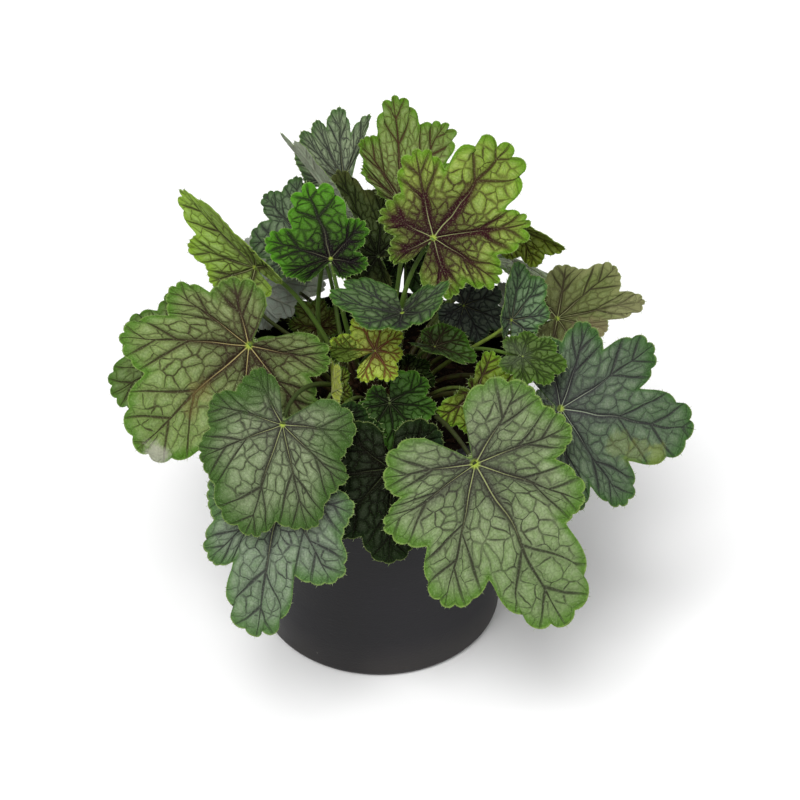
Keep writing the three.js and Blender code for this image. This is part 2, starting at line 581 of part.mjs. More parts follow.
// ---------------------------------------------------------------- the plant in its pot
const plant = new THREE.Group();

function addPiece(name, solid, colour, roughness) {
  const material = new THREE.MeshStandardMaterial({ color: colour, roughness, metalness: 0 });
  const mesh = new THREE.Mesh(toGeometry(solid), material);
  mesh.name = name;
  plant.add(mesh);
  return mesh;
}

const leaves = Object.entries(LEAVES).map(([name, leaf], i) => ({ name, seed: i + 1, ...leaf }));
addPiece('pot', potSolid(), COLOURS.pot, 0.55);
addPiece('soil', soilSolid(), COLOURS.soil, 0.95);
addPiece('crown', crownSolid(leaves), COLOURS.crown, 0.9);
leaves.forEach((leaf) => {
  const mesh = addPiece(`leaf_${leaf.name}`, leafSolid(leaf), COLOURS[leaf.tone], 0.5);
  mesh.applyMatrix4(leafMatrix(leaf));
});

export default plant;
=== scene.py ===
"""The looks of a potted heuchera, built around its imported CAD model.

Every leaf is rebuilt as a fine mesh from the same values as its CAD solid, with toothed
lobes, sunken veins and marginal hairs. The pot, soil and crown are rebuilt in the same way.
Lengths are in millimetres in the tables, and in metres in Blender.
"""

import math
from functools import reduce

import bpy
import numpy as np
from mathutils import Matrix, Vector, noise


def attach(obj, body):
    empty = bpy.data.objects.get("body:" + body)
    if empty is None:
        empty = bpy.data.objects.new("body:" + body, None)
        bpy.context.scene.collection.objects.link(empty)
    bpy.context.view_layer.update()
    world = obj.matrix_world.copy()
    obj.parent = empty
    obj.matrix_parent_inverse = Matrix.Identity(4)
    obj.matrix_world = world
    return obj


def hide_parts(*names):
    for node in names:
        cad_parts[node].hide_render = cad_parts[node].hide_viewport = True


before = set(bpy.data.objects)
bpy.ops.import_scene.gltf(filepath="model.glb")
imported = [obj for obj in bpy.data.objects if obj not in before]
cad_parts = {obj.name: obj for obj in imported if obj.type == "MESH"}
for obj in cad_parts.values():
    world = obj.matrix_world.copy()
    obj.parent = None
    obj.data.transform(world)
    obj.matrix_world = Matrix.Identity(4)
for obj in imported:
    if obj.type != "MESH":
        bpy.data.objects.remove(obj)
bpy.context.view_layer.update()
MM = 0.001

# ---- the leaves' shape
# A leaf has seven lobes. A usual leaf's lobes and notches stand at these angles from its tip.
LOBE_ANGLES = (0, 41, 84, 130)
NOTCH_ANGLES = (21, 62, 107, 170)
LOBES = ((-130, 0.6), (-84, 0.72), (-41, 0.88), (0, 1), (41, 0.88), (84, 0.72), (130, 0.6))
NOTCHES = ((-107, 0.54), (-62, 0.65), (-21, 0.74), (21, 0.76), (62, 0.63), (107, 0.53))
OPEN = (-170, 170)
BASE_NOTCH = 0.62
SINUS = 0.05
TEETH_PITCH = 0.4
TOOTH_DEPTH = 0.075  # as a share of the edge of half a lobe
BLADE_THICKNESS = 0.55  # mm
# the waves and the smaller frills round a blade, and their heights as shares of its reach
WAVES, FRILLS = 5, 13
WAVE_SIZE, FRILL_SIZE = 0.03, 0.012

SOIL_TOP = 134
CROWN_RADIUS = 27
CROWN_RISE = 9
PETIOLE_SINK = 3.2  # how deep a petiole starts in the crown
PETIOLE_RISE = 0.45  # how straight it leaves the crown and, next, reaches the blade
PETIOLE_SWEEP = 0.3


def row(at, turn, reach, bend, root, **own):
    """One leaf.

    at is the junction of petiole and blade, turn (heading, pitch, roll), bend (droop, arch,
    fold), and root the petiole's distance from the plant's axis and its bearing. A leaf that is
    not the usual one has its own lobes and notches as (angle, reach), and the angles where its
    sinus opens. teeth and wide scale its teeth and width, and sweep how straight its petiole
    reaches the blade.
    """
    usual = dict(lobes=LOBES, notches=NOTCHES, open=OPEN, teeth=1, wide=1, sweep=PETIOLE_SWEEP)
    return dict(usual, at=at, turn=turn, reach=reach, bend=bend, root=root, **own)


LEAVES = {
    "front_right": row(
        (46, -83, 158), (-41, -48, 38), 91, (16, 18, 0), (23, -57),
        lobes=((-120, 0.49), (-80, 0.53), (-40, 0.6), (1, 1), (41, 0.77), (84, 0.58), (112, 0.48)),
        notches=((-100, 0.47), (-63, 0.42), (-26, 0.58), (23, 0.62), (60, 0.5), (96, 0.42)),
        open=(-162, 148)),
    "front_left": row(
        (-43, -80, 179), (-104, -56, -11), 55, (16, 26, 0), (17, -116), teeth=1.2, sweep=0.36,
        lobes=((-92, 0.62), (-54, 0.73), (-20, 0.94), (11, 1.02), (60, 0.79), (98, 0.67), (143, 0.53)),
        notches=((-66, 0.57), (-34, 0.77), (-3, 0.83), (41, 0.78), (79, 0.62), (117, 0.48)),
        open=(-132, 168)),
    "low_left": row(
        (-43, -88, 147), (-118, -62, -20), 82, (16, 26, 0), (23, -105),
        lobes=((-125, 0.32), (-82, 0.42), (-38, 0.63), (0, 0.97), (33, 0.64), (70, 0.47), (120, 0.34)),
        notches=((-104, 0.3), (-60, 0.44), (-18, 0.52), (22, 0.54), (52, 0.46), (94, 0.36))),
    "left_large": row(
        (-61, -34, 191), (-156, -34, -45), 77, (18, 18, 0), (18, -158), teeth=1.2,
        lobes=((-128, 0.52), (-90, 0.6), (-45, 0.8), (-1, 1), (44, 0.83), (76, 0.62), (116, 0.44)),
        notches=((-112, 0.42), (-66, 0.56), (-24, 0.72), (26, 0.7), (61, 0.55), (94, 0.42)),
        open=(-155, 155)),
    "right_large": row(
        (88, -48, 164), (3, -8, 54), 71, (20, 18, 0), (23, -30),
        lobes=((-108, 0.5), (-76, 0.62), (-37, 0.8), (4, 1), (50, 0.83), (77, 0.73), (116, 0.55)),
        notches=((-93, 0.46), (-58, 0.5), (-18, 0.58), (32, 0.6), (63, 0.57), (96, 0.48)),
        open=(-140, 155)),
    "back_right": row(
        (91, 24, 167), (20, 6, 34), 53, (16, 20, 0), (23, 28),
        lobes=((-108, 0.45), (-58, 0.6), (-24, 0.86), (3, 0.95), (30, 0.5), (75, 0.34), (120, 0.34)),
        notches=((-84, 0.42), (-40, 0.64), (-8, 0.72), (18, 0.5), (54, 0.3), (98, 0.28))),
    "far_left": row((-86, -10, 171), (-172, -22, -36), 54, (14, 16, 0), (23, 182), teeth=1.2),
    "top_right": row(
        (27, -3, 232), (43, 30, 37), 63, (12, 14, 0), (5, 20), teeth=2.0,
        lobes=((-158, 0.38), (-103, 0.46), (-50, 0.72), (-1, 1.02), (39, 0.78), (82, 0.61), (125, 0.48)),
        notches=((-129, 0.29), (-75, 0.42), (-30, 0.54), (27, 0.6), (64, 0.5), (104, 0.42)),
        open=(-176, 162)),
    "top": row(
        (12, 41, 224), (94, 30, -4), 66, (10, 26, 0), (11, 72), teeth=1.8,
        lobes=((-58, 0.22), (-40, 0.46), (-25, 0.68), (0, 1), (28, 0.84), (60, 0.6), (105, 0.45)),
        notches=((-50, 0.26), (-33, 0.5), (-14, 0.64), (14, 0.74), (46, 0.5), (84, 0.4)),
        open=(-66, 150)),
    "top_left": row(
        (-18, 78, 216), (76, 27, 9), 52, (12, 0, 26), (17, 95),
        lobes=((-112, 0.44), (-84, 0.56), (-60, 0.64), (-39, 0.7), (-17, 0.86), (5, 0.85), (11, 0.45)),
        notches=((-98, 0.48), (-72, 0.54), (-51, 0.58), (-32, 0.61), (-6, 0.57), (9, 0.6)),
        open=(-128, 14)),
    "back_left": row(
        (-39, 41, 205), (152, 4, -46), 33, (14, 14, 0), (13, 160), teeth=1.3,
        lobes=((-120, 0.6), (-76, 0.75), (-24, 0.88), (26, 1), (60, 1), (90, 0.8), (125, 0.6)),
        notches=((-98, 0.5), (-50, 0.65), (8, 0.62), (42, 0.85), (74, 0.7), (106, 0.55))),
    "back_blade": row((-23, 44, 227), (135, 31, 60), 42, (0, 0, 12), (20, 165), wide=0.6),
    "left_folded": row(
        (-60, 6, 209), (146, 27, -80), 57, (10, 0, 46), (13, 176), teeth=1.3, wide=0.8,
        lobes=((-110, 0.36), (-64, 0.5), (-30, 0.68), (6, 0.95), (42, 0.8), (76, 0.55), (115, 0.4)),
        notches=((-86, 0.34), (-46, 0.5), (-18, 0.62), (22, 0.76), (60, 0.5), (96, 0.36))),
    "centre_left": row(
        (-22, -9, 224), (103, 42, -11), 41, (12, 20, 0), (7, 200), teeth=2.0, sweep=0.15,
        lobes=((-118, 0.44), (-97, 0.58), (-62, 0.82), (-8, 0.98), (50, 0.6), (108, 0.44), (152, 0.3)),
        notches=((-108, 0.46), (-85, 0.62), (-41, 0.6), (31, 0.53), (83, 0.3), (130, 0.36)),
        open=(-130, 172)),
    "right_edge": row((70, 44, 208), (-16, -20, 110), 26, (0, 0, 30), (17, 30), sweep=0.2),
    "stalked_right": row(
        (66, -1, 183), (74, 52, 48), 29, (8, 0, 40), (20, 5), sweep=0.2,
        lobes=((-135, 0.4), (-90, 0.6), (-45, 0.85), (0, 1), (30, 0.9), (70, 0.68), (115, 0.5)),
        notches=((-112, 0.4), (-66, 0.6), (-24, 0.8), (15, 0.84), (50, 0.68), (92, 0.48))),
    "centre_fold": row(
        (12, -36.5, 212), (-92, 2, 12), 36, (10, 0, 30), (7, -85), wide=1.1, sweep=0.4,
        lobes=((-130, 0.5), (-88, 0.72), (-50, 0.74), (0, 0.42), (46, 0.7), (84, 0.9), (130, 0.92)),
        notches=((-108, 0.5), (-68, 0.64), (-22, 0.4), (22, 0.4), (66, 0.66), (110, 0.74))),
    "middle_yellow": row(
        (-1, -27, 183), (21, 26, 48), 20, (-20, -20, 0), (8, -135), teeth=1.6,
        lobes=((-145, 1.15), (-84, 0.98), (-42, 0.95), (0, 0.8), (41, 0.68), (90, 0.85), (148, 0.82)),
        notches=((-112, 0.7), (-62, 0.72), (-21, 0.68), (21, 0.56), (64, 0.6), (120, 0.62))),
    "red_centre": row((13, -19, 162), (2, -14, 54), 16, (-20, -20, 0), (10, -30), teeth=1.6),
    "low_centre": row(
        (6, -46, 166), (-81, -36, 7), 25, (10, 20, 0), (17, -85), teeth=1.5,
        lobes=((-115, 0.88), (-78, 0.92), (-38, 1.04), (0, 1), (38, 0.9), (84, 0.75), (130, 0.5)),
        notches=((-96, 0.72), (-58, 0.8), (-18, 0.78), (20, 0.68), (60, 0.6), (106, 0.45))),
    "folded_right": row(
        (28, -16, 178), (-19, -8, 0), 23, (8, 0, 30), (13, -8),
        lobes=((-130, 0.5), (-84, 0.6), (-41, 0.75), (0, 0.95), (41, 1), (84, 0.8), (130, 0.6))),
    "right_yellow": row(
        (47, -41, 167), (-31, -34, 43), 28, (14, 14, 0), (22, -48), teeth=1.6,
        lobes=((-150, 0.3), (-112, 0.82), (-60, 0.98), (0, 0.6), (50, 0.7), (100, 0.78), (150, 0.3)),
        notches=((-138, 0.28), (-84, 0.7), (-26, 0.6), (26, 0.55), (76, 0.6), (134, 0.35))),
    "right_small": row((69, -41, 190), (-6, -8, 18), 22, (10, 10, 0), (20, 22), sweep=0.05),
    "grey_shadow": row((43, 19, 178), (-4, -22, 54), 24, (10, 10, 0), (17, 12)),
    "front_dark": row((6, -80, 153), (-88, -70, -4), 50, (12, 24, 0), (25, -95), sweep=0.03),
    "behind_front": row((-18, -71, 167), (-64, -64, 30), 30, (10, 10, 0), (17, -100)),
    "shade_back": row((-30, 18, 165), (137, 30, -36), 18, (10, 10, 0), (17, 150)),
    "thin_edge": row((-21, -41, 168), (94, 48, 76), 18, (0, 0, 40), (20, -144)),
    "back_dark": row(
        (0, 34, 198), (139, 28, -30), 38, (10, 16, 0), (12, 96),
        lobes=((-152, 0.52), (-105, 0.58), (-52, 0.66), (-15, 0.82), (18, 1.36), (46, 0.96), (88, 0.8)),
        notches=((-128, 0.4), (-80, 0.52), (-34, 0.62), (4, 0.88), (30, 0.98), (66, 0.76)),
        open=(-168, 122)),
    "under_left": row((-61, 52, 164), (40, 48, -165), 35, (10, 20, 0), (23, 150)),
    "rear_left": row((-91, 64, 147), (142, -50, 0), 56, (20, 20, 0), (23, 132)),
    "rear_centre": row((-12, 100, 174), (100, -40, 4), 66, (20, 20, 0), (23, 106)),
    "rear_right": row((69, 78, 168), (50, -32, 0), 64, (20, 20, 0), (23, 55)),
    "rear_low_left": row((-52, 84, 150), (121, -46, 0), 52, (16, 24, 0), (23, 122)),
    "rear_high": row((14, 56, 182), (84, 40, 0), 42, (16, 20, 0), (17, 60)),
    "rear_low_right": row((84, 50, 146), (32, -66, 0), 50, (16, 24, 0), (23, 38)),
    "side_left": row((-91, 14, 150), (172, -50, -6), 48, (16, 20, 0), (23, 165)),
    "side_right": row((90, -24, 145), (-4, -62, 10), 46, (14, 18, 0), (23, 2)),
}


# ---- the leaves' colours
# panel is the colour between the veins, margin the edge's, vein the net's, haze the one beside
# the veins, and centre the stain round the junction, with its strength and how far it spreads as a
# share of the leaf's reach. A spot is (across, up, size, colour, strength) in the same shares.
# glow is how pale a panel's middle is, rim the margin's width, smoke the haze's strength and net
# the finest veins'. rib and hub colour the main veins' cores and the junction, cell and width
# scale the net and the veins, and painted_shade darkens the whole leaf towards near black, as
# painted shade for leaves lying in shadow inside the plant. A leaf's look stands over its tone's
# values, and those over the usual ones.
USUAL = dict(
    glow=0.45, rim=0.13, smoke=0.8, net=0.85, cell=1.0, width=1.0, gloss=0.05, painted_shade=0.0,
    rib=0x9AA36A, hub=0x94A83A, under=0x98A48E, stalk="green", spots=())
TONES = {
    "silver": dict(
        panel=0x8A9870, margin=0x4A7020, vein=0x282420, haze=0x443C3E, centre=0x342E32, stain=0.55,
        spread=0.45),
    "grey": dict(
        panel=0x7E8C76, margin=0x426430, vein=0x2C2A2C, haze=0x46424A, centre=0x38343C, stain=0.5,
        spread=0.5),
    "green": dict(
        panel=0x7C8C56, margin=0x46701C, vein=0x2C1C18, haze=0x42322C, centre=0x32221E, stain=0.9,
        spread=0.65),
    "lime": dict(
        panel=0x7E9038, margin=0x4A7614, vein=0x2E1014, haze=0x3C1C20, centre=0x2C141A, stain=0.8,
        spread=0.48),
    # the shade tone is painted shade: darker panels, duller middles and darker vein cores for leaves
    # lying in shadow deep in the plant
    "shade": dict(
        panel=0x2A4016, margin=0x20420C, vein=0x0E0B07, haze=0x12110A, centre=0x120C09, stain=0.7,
        spread=0.45, glow=0.15, rib=0x46542E, hub=0x46542A),
}
LOOKS = {
    "front_right": dict(tone="silver", stalk="dark"),
    "front_left": dict(
        tone="silver", panel=0x8A9672, margin=0x35561A, rim=0.32, stalk="dark",
        spots=((0.4, -0.25, 0.4, 0x34541A, 0.5), (-0.42, -0.2, 0.3, 0x385A1C, 0.35))),
    "low_left": dict(tone="grey", panel=0x84927C, margin=0x466A30),
    "left_large": dict(
        tone="green", panel=0x8C9A60, haze=0x3A2824, rib=0xB0A468, stain=0.75, spread=0.62, smoke=1.1,
        spots=((-0.1, 0.93, 0.11, 0xA9A59A, 0.7), (-0.02, 0.42, 0.1, 0x86743E, 0.25),
               (-0.05, 0.54, 0.08, 0x86743E, 0.22))),
    "right_large": dict(
        tone="grey", panel=0x62705C, margin=0x365A26, net=0.6, rib=0x94A086,
        spots=((0.14, 0.46, 0.11, 0x969C40, 0.15), (0.16, 0.6, 0.1, 0x969C40, 0.16),
               (0.15, 0.74, 0.09, 0xA4AC3C, 0.22))),
    "back_right": dict(
        tone="green", panel=0x5E6E34, margin=0x7C8052, vein=0x2C221C, centre=0x4A3C30, under=0x9C9070,
        rim=0.22, net=0.4, smoke=0.5, stain=0.4, glow=0.2,
        spots=((0.12, 0.78, 0.4, 0x8A8862, 0.5), (0.3, 0.25, 0.3, 0x84765A, 0.5))),
    "far_left": dict(tone="green", painted_shade=0.2),
    "top_right": dict(
        tone="lime", panel=0x9AAA4E, margin=0x568414, haze=0x3E1C20, width=1.4, cell=0.78, smoke=1.8,
        stain=1.1, spread=0.62),
    "top": dict(
        tone="lime", panel=0x849254, margin=0x4E7A12, vein=0x3A1418, smoke=1.0, stain=0.5, width=1.3,
        cell=0.85, net=0.6),
    "top_left": dict(tone="grey", panel=0x909C7C),
    "back_left": dict(tone="grey", panel=0x66765C, painted_shade=0.15),
    "back_blade": dict(tone="grey", under=0x94A088, panel=0x8C9A80),
    "left_folded": dict(tone="green", panel=0x8EAC50, margin=0x7EA02C, stain=0.3, under=0x9AB05C),
    "centre_left": dict(
        tone="green", panel=0x4C7422, margin=0x4A8A18, vein=0x140A10, haze=0x180E14, centre=0x120A10,
        stain=1.0, spread=0.85, width=1.5, cell=0.7, smoke=1.5, glow=0.1, rib=0x5A5A40),
    "right_edge": dict(
        tone="green", panel=0x8A9A2E, margin=0x7E9A2A, vein=0x3A2A12, stain=0.4, under=0x8A9A2E),
    "stalked_right": dict(tone="grey", panel=0x6A8262, margin=0x467030, stalk="bright"),
    "centre_fold": dict(
        tone="grey", panel=0x4C6038, margin=0x3C6820, stain=0.9, centre=0x181216, rib=0x5E6A50),
    "middle_yellow": dict(
        tone="lime", panel=0xB2C24C, margin=0x9ABA30, vein=0x6C2A26, centre=0x5C2026, stain=0.85,
        spots=((-0.45, -0.7, 0.7, 0x24420F, 0.85),)),
    "red_centre": dict(tone="shade", panel=0x3C4A1A, centre=0x501A1C, stain=0.9, painted_shade=0.3),
    "low_centre": dict(
        tone="shade", panel=0x2E4A1A, margin=0x3E6C18, centre=0x0A0806, stain=1.0, spread=0.75),
    "folded_right": dict(tone="green", panel=0x40601E, margin=0x447418, painted_shade=0.15),
    "right_yellow": dict(
        tone="lime", panel=0x7C902A, margin=0x669020, centre=0x2A1012, stain=1.0, spread=0.7, net=0.5,
        glow=0.2),
    "right_small": dict(
        tone="green", panel=0x4A5E26, margin=0x466A1A, vein=0x263414, haze=0x2A381C, stain=0.2,
        glow=0.2, rib=0x4E6A2E,
        spots=((0.0, -0.2, 0.5, 0x56604A, 0.5),)),
    "grey_shadow": dict(tone="grey", panel=0x586058, margin=0x3A4E38, painted_shade=0.25),
    # front_dark's near-black panel and margin are painted shade, for a leaf lying in shadow under the
    # others
    "front_dark": dict(
        tone="shade", panel=0x141E0C, margin=0x16280A, painted_shade=0.2, gloss=0.03,
        spots=((-0.6, 0.1, 0.5, 0x30482C, 0.6),)),
    "behind_front": dict(tone="shade", panel=0x2C3A24, painted_shade=0.4),
    "shade_back": dict(tone="lime", panel=0x8C9434, vein=0x4A2A1E, centre=0x5A2A20, painted_shade=0.65),
    "thin_edge": dict(tone="lime", panel=0x9CAA3A, under=0x9CAA3A),
    "back_dark": dict(tone="shade", margin=0x484E24, rim=0.3, rib=0x2A3418, hub=0x34401E, painted_shade=0.2),
    "under_left": dict(tone="grey", under=0x9CA69C),
    "rear_left": dict(tone="silver"),
    "rear_centre": dict(tone="silver"),
    "rear_right": dict(tone="silver"),
    "rear_low_left": dict(tone="grey"),
    "rear_high": dict(tone="shade", painted_shade=0.15),
    "rear_low_right": dict(tone="grey"),
    "side_left": dict(tone="grey"),
    "side_right": dict(tone="grey"),
}

# ---- the veins
# A lobe's side veins leave its main vein in pairs, at steps measured as shares of the lobe's own
# length, and curve towards its tip. The net between them is measured as a share of the leaf's reach.
VEIN_STEP = 0.25
VEIN_SLANT = 1.35
VEIN_CURVE = 0.5
VEIN_START = 0.36  # where the side veins begin, and over how much they fade in
VEIN_FADE = 0.05
VEIN_SINE = 0.6  # a side vein's distance from its neighbour for one step along the main vein
VEIN_PHASE = 0.6  # sets the first side veins' place, which varies from lobe to lobe
VEIN_SHIFT = 0.3
VEIN_TURN = 2.4
CELL = 0.088  # the net's cells, for a leaf of reach NET_REACH
NET_REACH = 80
VEIN_REACH = 66  # a leaf of this reach has veins of the usual width
SCALING = 0.6  # how much finer the pattern of a larger leaf is


def chance(key):
    """A repeatable number from 0 to 1."""
    s = math.sin(key * 12.9898 + 4.1414) * 43758.5453
    return s - math.floor(s)


def phase(key):
    """A repeatable phase for a wave."""
    return 6.28 * chance(key)


def warped(u, v, seed):
    """Blade coordinates bent a little, so that no vein runs quite straight."""
    du = np.zeros_like(u)
    dv = np.zeros_like(v)
    for i, (pitch, size) in enumerate(((5.0, 0.008), (11.0, 0.006), (25.0, 0.004))):
        turn = phase(seed * 7 + i)
        along = u * math.cos(turn) + v * math.sin(turn)
        beside = v * math.cos(turn) - u * math.sin(turn)
        du += size * np.sin(pitch * along + phase(seed * 11 + i))
        dv += size * np.sin(pitch * beside + phase(seed * 13 + i))
    fade = np.clip(np.hypot(u, v) / 0.25, 0, 1)
    return u + du * fade, v + dv * fade


def lobe_steps(u, v):
    """How many notches away from the tip's lobe each place is."""
    angle = np.abs(np.arctan2(u, v))
    return sum((angle > math.radians(notch)).astype(int) for notch in NOTCH_ANGLES[:3])


def lobe_lengths(leaf, u, v):
    """The length of the lobe each place is in."""
    lengths = np.array([reach for _, reach in leaf["lobes"]])
    return lengths[3 + np.where(u > 0, 1, -1) * lobe_steps(u, v)]


def vein_places(u, v, length, seed):
    """Distances to the nearest main vein and side vein, and the place along the main vein."""
    angle = np.abs(np.arctan2(u, v))
    steps = lobe_steps(u, v)
    radius = np.hypot(u, v)
    turned = angle - np.radians(np.array(LOBE_ANGLES))[steps]
    along = radius * np.cos(turned)
    beside = np.abs(radius * np.sin(turned))
    key = 2 * steps + (turned > 0) + 8 * (u > 0)
    start = VEIN_PHASE + VEIN_SHIFT * np.sin(key * VEIN_TURN + seed)
    foot = (along - VEIN_SLANT * beside - VEIN_CURVE * beside**2 / length) / length
    step = foot / VEIN_STEP + start
    side = np.abs(step - np.floor(step) - 0.5) * VEIN_STEP * VEIN_SINE * length
    shown = np.clip((foot - VEIN_START) / VEIN_FADE, 0, 1)
    return beside, side, along / length, shown


# ---- mesh helpers
def unit(v):
    return v / np.linalg.norm(v)


def outward(turn):
    """The level unit vector at an angle round the plant's axis."""
    return np.array([math.cos(turn), math.sin(turn), 0])


def leaf_axes(leaf):
    """Across the blade, along it to the tip, and out of its upper face."""
    heading, pitch, roll = (math.radians(x) for x in leaf["turn"])
    level = math.cos(pitch)
    tip = np.array([math.cos(heading) * level, math.sin(heading) * level, math.sin(pitch)])
    up = unit(np.array([0, 0, 1.0]) - tip * tip[2])
    up = up * math.cos(roll) + np.cross(tip, up) * math.sin(roll)
    return np.cross(tip, up), tip, up


def outline(leaf, degrees):
    """(the outline's distance from the junction without its teeth, how far they cut into it)

    The angle is a usual leaf's: real_angles() turns it into this leaf's own.
    """
    size = abs(degrees)
    lobes, notches = leaf["lobes"], leaf["notches"]
    right = degrees > 0
    step = next((i for i, notch in enumerate(NOTCH_ANGLES) if size <= notch + 1e-6), 4)
    if step > 3:
        last = BASE_NOTCH * lobes[6 if right else 0][1]
        share = (size - NOTCH_ANGLES[3]) / (180 - NOTCH_ANGLES[3])
        return SINUS + (last - SINUS) * (1 - share) ** 6, 0.0
    angle, reach = lobes[3 + step if right else 3 - step]
    outward = size >= LOBE_ANGLES[step]
    notch_step = step if outward else step - 1
    share = abs((size - LOBE_ANGLES[step]) / (NOTCH_ANGLES[notch_step] - LOBE_ANGLES[step]))
    if notch_step == 3:
        notch_angle, notch = leaf["open"][1 if right else 0], BASE_NOTCH * reach
    else:
        notch_angle, notch = notches[3 + notch_step if right else 2 - notch_step]
    gap = math.radians(notch_angle - angle)
    edge = math.hypot(reach * math.cos(gap) - notch, reach * math.sin(gap))
    tooth = (1 - abs(math.cos(math.pi * share / TEETH_PITCH))) ** 1.4 * (1 - share**6)
    return reach - (reach - notch) * share**2.2, TOOTH_DEPTH * leaf["teeth"] * edge * tooth


def real_angles(leaf, angles):
    """This leaf's own angles for those of a usual leaf."""
    lobes, notches, sinus = leaf["lobes"], leaf["notches"], leaf["open"]
    usual = [-180, -NOTCH_ANGLES[3], -LOBE_ANGLES[3]]
    own = [-180, sinus[0], lobes[0][0]]
    for usual_notch, usual_lobe, notch, lobe in zip(NOTCHES, LOBES[1:], notches, lobes[1:]):
        usual += [usual_notch[0], usual_lobe[0]]
        own += [notch[0], lobe[0]]
    return np.interp(angles, [*usual, NOTCH_ANGLES[3], 180], [*own, sinus[1], 180])


def edge_points(leaf, angles):
    """Points on the outline without its teeth, for a leaf of reach 1."""
    body = np.array([outline(leaf, angle)[0] for angle in angles])[:, None]
    own = np.radians(real_angles(leaf, angles))
    return body * np.stack([np.sin(own), np.cos(own)], 1)


def rim_angles(count):
    """Angles round the outline, with count to each half of a lobe."""
    half = []
    for i, lobe in enumerate(LOBE_ANGLES):
        if i:
            inward = lobe - NOTCH_ANGLES[i - 1]
            half += [lobe - inward * (count - k) / count for k in range(count)]
        outward = NOTCH_ANGLES[i] - lobe
        half += [lobe + outward * k / count for k in range(count)]
    sinus = count // 5
    half += [NOTCH_ANGLES[3] + (180 - NOTCH_ANGLES[3]) * k / sinus for k in range(sinus)]
    return [-180.0] + [-a for a in reversed(half[1:])] + half


def bend(leaf, x, y):
    """Flat blade points bent into their real form, in millimetres in the leaf's own frame."""
    reach = leaf["reach"]
    droop, arch, fold = (math.radians(a) for a in leaf["bend"])
    along, across, crease = droop / reach, arch / reach, 0.1 * reach

    def roll(length, k):
        return length if abs(k) < 1e-6 else np.sin(k * length) / k

    def sink(length, k):
        return 0 * length if abs(k) < 1e-6 else (1 - np.cos(k * length)) / k

    flat = roll(x, across)
    ridge = np.hypot(flat, crease)
    far = np.hypot(x, y) / reach
    turn = np.arctan2(x, y)
    wave = WAVE_SIZE * reach * far**2 * np.sin(WAVES * turn + phase(leaf["seed"]))
    frill = FRILL_SIZE * reach * far**4 * np.sin(FRILLS * turn + phase(leaf["seed"] + 50))
    return np.stack([
        flat * math.cos(fold) + (1 - math.cos(fold)) * flat * crease / ridge,
        roll(y, along),
        math.sin(fold) * (ridge - crease) + wave + frill - sink(y, along) - sink(x, across),
    ], -1)


def ring_faces(outer, inner):
    """Faces between two closed rings, the inner with as many points as the outer or half."""
    if len(inner) == len(outer):
        sides = np.stack([outer, inner, np.roll(inner, -1), np.roll(outer, -1)], 1)
        return sides.tolist()
    first, middle, last = outer[0::2], outer[1::2], np.roll(outer[0::2], -1)
    after = np.roll(inner, -1)
    faces = [
        np.stack([first, inner, middle], 1),
        np.stack([middle, inner, after], 1),
        np.stack([middle, after, last], 1),
    ]
    return np.concatenate(faces).tolist()


def sleeve(rings, sides, first=0):
    """Faces of a closed solid of rings, whose vertices start at number first."""
    faces = []
    for ring in range(rings - 1):
        start = first + ring * sides
        for i in range(sides):
            a, b = start + i, start + (i + 1) % sides
            faces.append([a, b, b + sides, a + sides])
    last = first + (rings - 1) * sides
    return [*faces, list(reversed(range(first, first + sides))), list(range(last, last + sides))]


def tube(points, radii, sides, first):
    """Vertices and faces of a closed tube along points."""
    points = np.asarray(points, float)
    tangents = np.gradient(points, axis=0)
    side = unit(np.cross(tangents[0], [0.3, 0.9, 0.2]))
    made = []
    for point, tangent, radius in zip(points, tangents, radii):
        tangent = unit(tangent)
        side = unit(side - tangent * side.dot(tangent))
        other = np.cross(tangent, side)
        turns = 2 * math.pi * np.arange(sides) / sides
        made.append(point + radius * (np.cos(turns)[:, None] * side + np.sin(turns)[:, None] * other))
    return np.concatenate(made), sleeve(len(points), sides, first)


def circle(radius, sides, height):
    """Points round the Z axis, at a height or at the height that a function gives for x and y."""
    points = []
    for i in range(sides):
        turn = 2 * math.pi * i / sides
        x, y = radius * math.cos(turn), radius * math.sin(turn)
        points.append((x, y, height(x, y) if callable(height) else height))
    return points


def lofted(foot, rings, head):
    """Vertices and faces of a closed solid of rings round the Z axis, between two points on it."""
    sides = len(rings[0])
    vertices = np.concatenate([[foot], *rings, [head]])
    faces = []
    first = 1 + np.arange(sides)
    for k in range(len(rings) - 1):
        low = first + k * sides
        after = np.roll(low, -1)
        faces += np.stack([low, after, after + sides, low + sides], 1).tolist()
    last = first + (len(rings) - 1) * sides
    faces += [[0, b, a] for a, b in zip(first.tolist(), np.roll(first, -1).tolist())]
    faces += [[len(vertices) - 1, a, b] for a, b in zip(last.tolist(), np.roll(last, -1).tolist())]
    return vertices, faces


def new_mesh(name, vertices, faces):
    """A mesh from vertices in millimetres."""
    mesh = bpy.data.meshes.new(name)
    mesh.from_pydata((np.asarray(vertices) * MM).tolist(), [], faces)
    return mesh


def add_object(name, data):
    made = bpy.data.objects.new(name, data)
    bpy.context.scene.collection.objects.link(made)
    return made


def add_piece(name, vertices, faces, materials, node, slots=None, sharp=None):
    """A new piece in millimetres, which stands for a CAD node where it has one.

    slots gives each face's material, and sharp a number to each vertex: an edge is sharp where
    both its ends have the same number above 0.
    """
    mesh = new_mesh(name, vertices, faces)
    mesh.polygons.foreach_set("material_index", slots or [0] * len(faces))
    mesh.polygons.foreach_set("use_smooth", [True] * len(faces))
    for material in materials:
        mesh.materials.append(material)
    if sharp is not None:
        ends = np.empty(len(mesh.edges) * 2, int)
        mesh.edges.foreach_get("vertices", ends)
        group = sharp[ends.reshape(-1, 2)]
        mesh.edges.foreach_set("use_edge_sharp", (group[:, 0] == group[:, 1]) & (group[:, 0] > 0))
    mesh.validate()
    piece = add_object(name, mesh)
    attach(piece, "root")
    if node:
        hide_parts(node)
    return piece


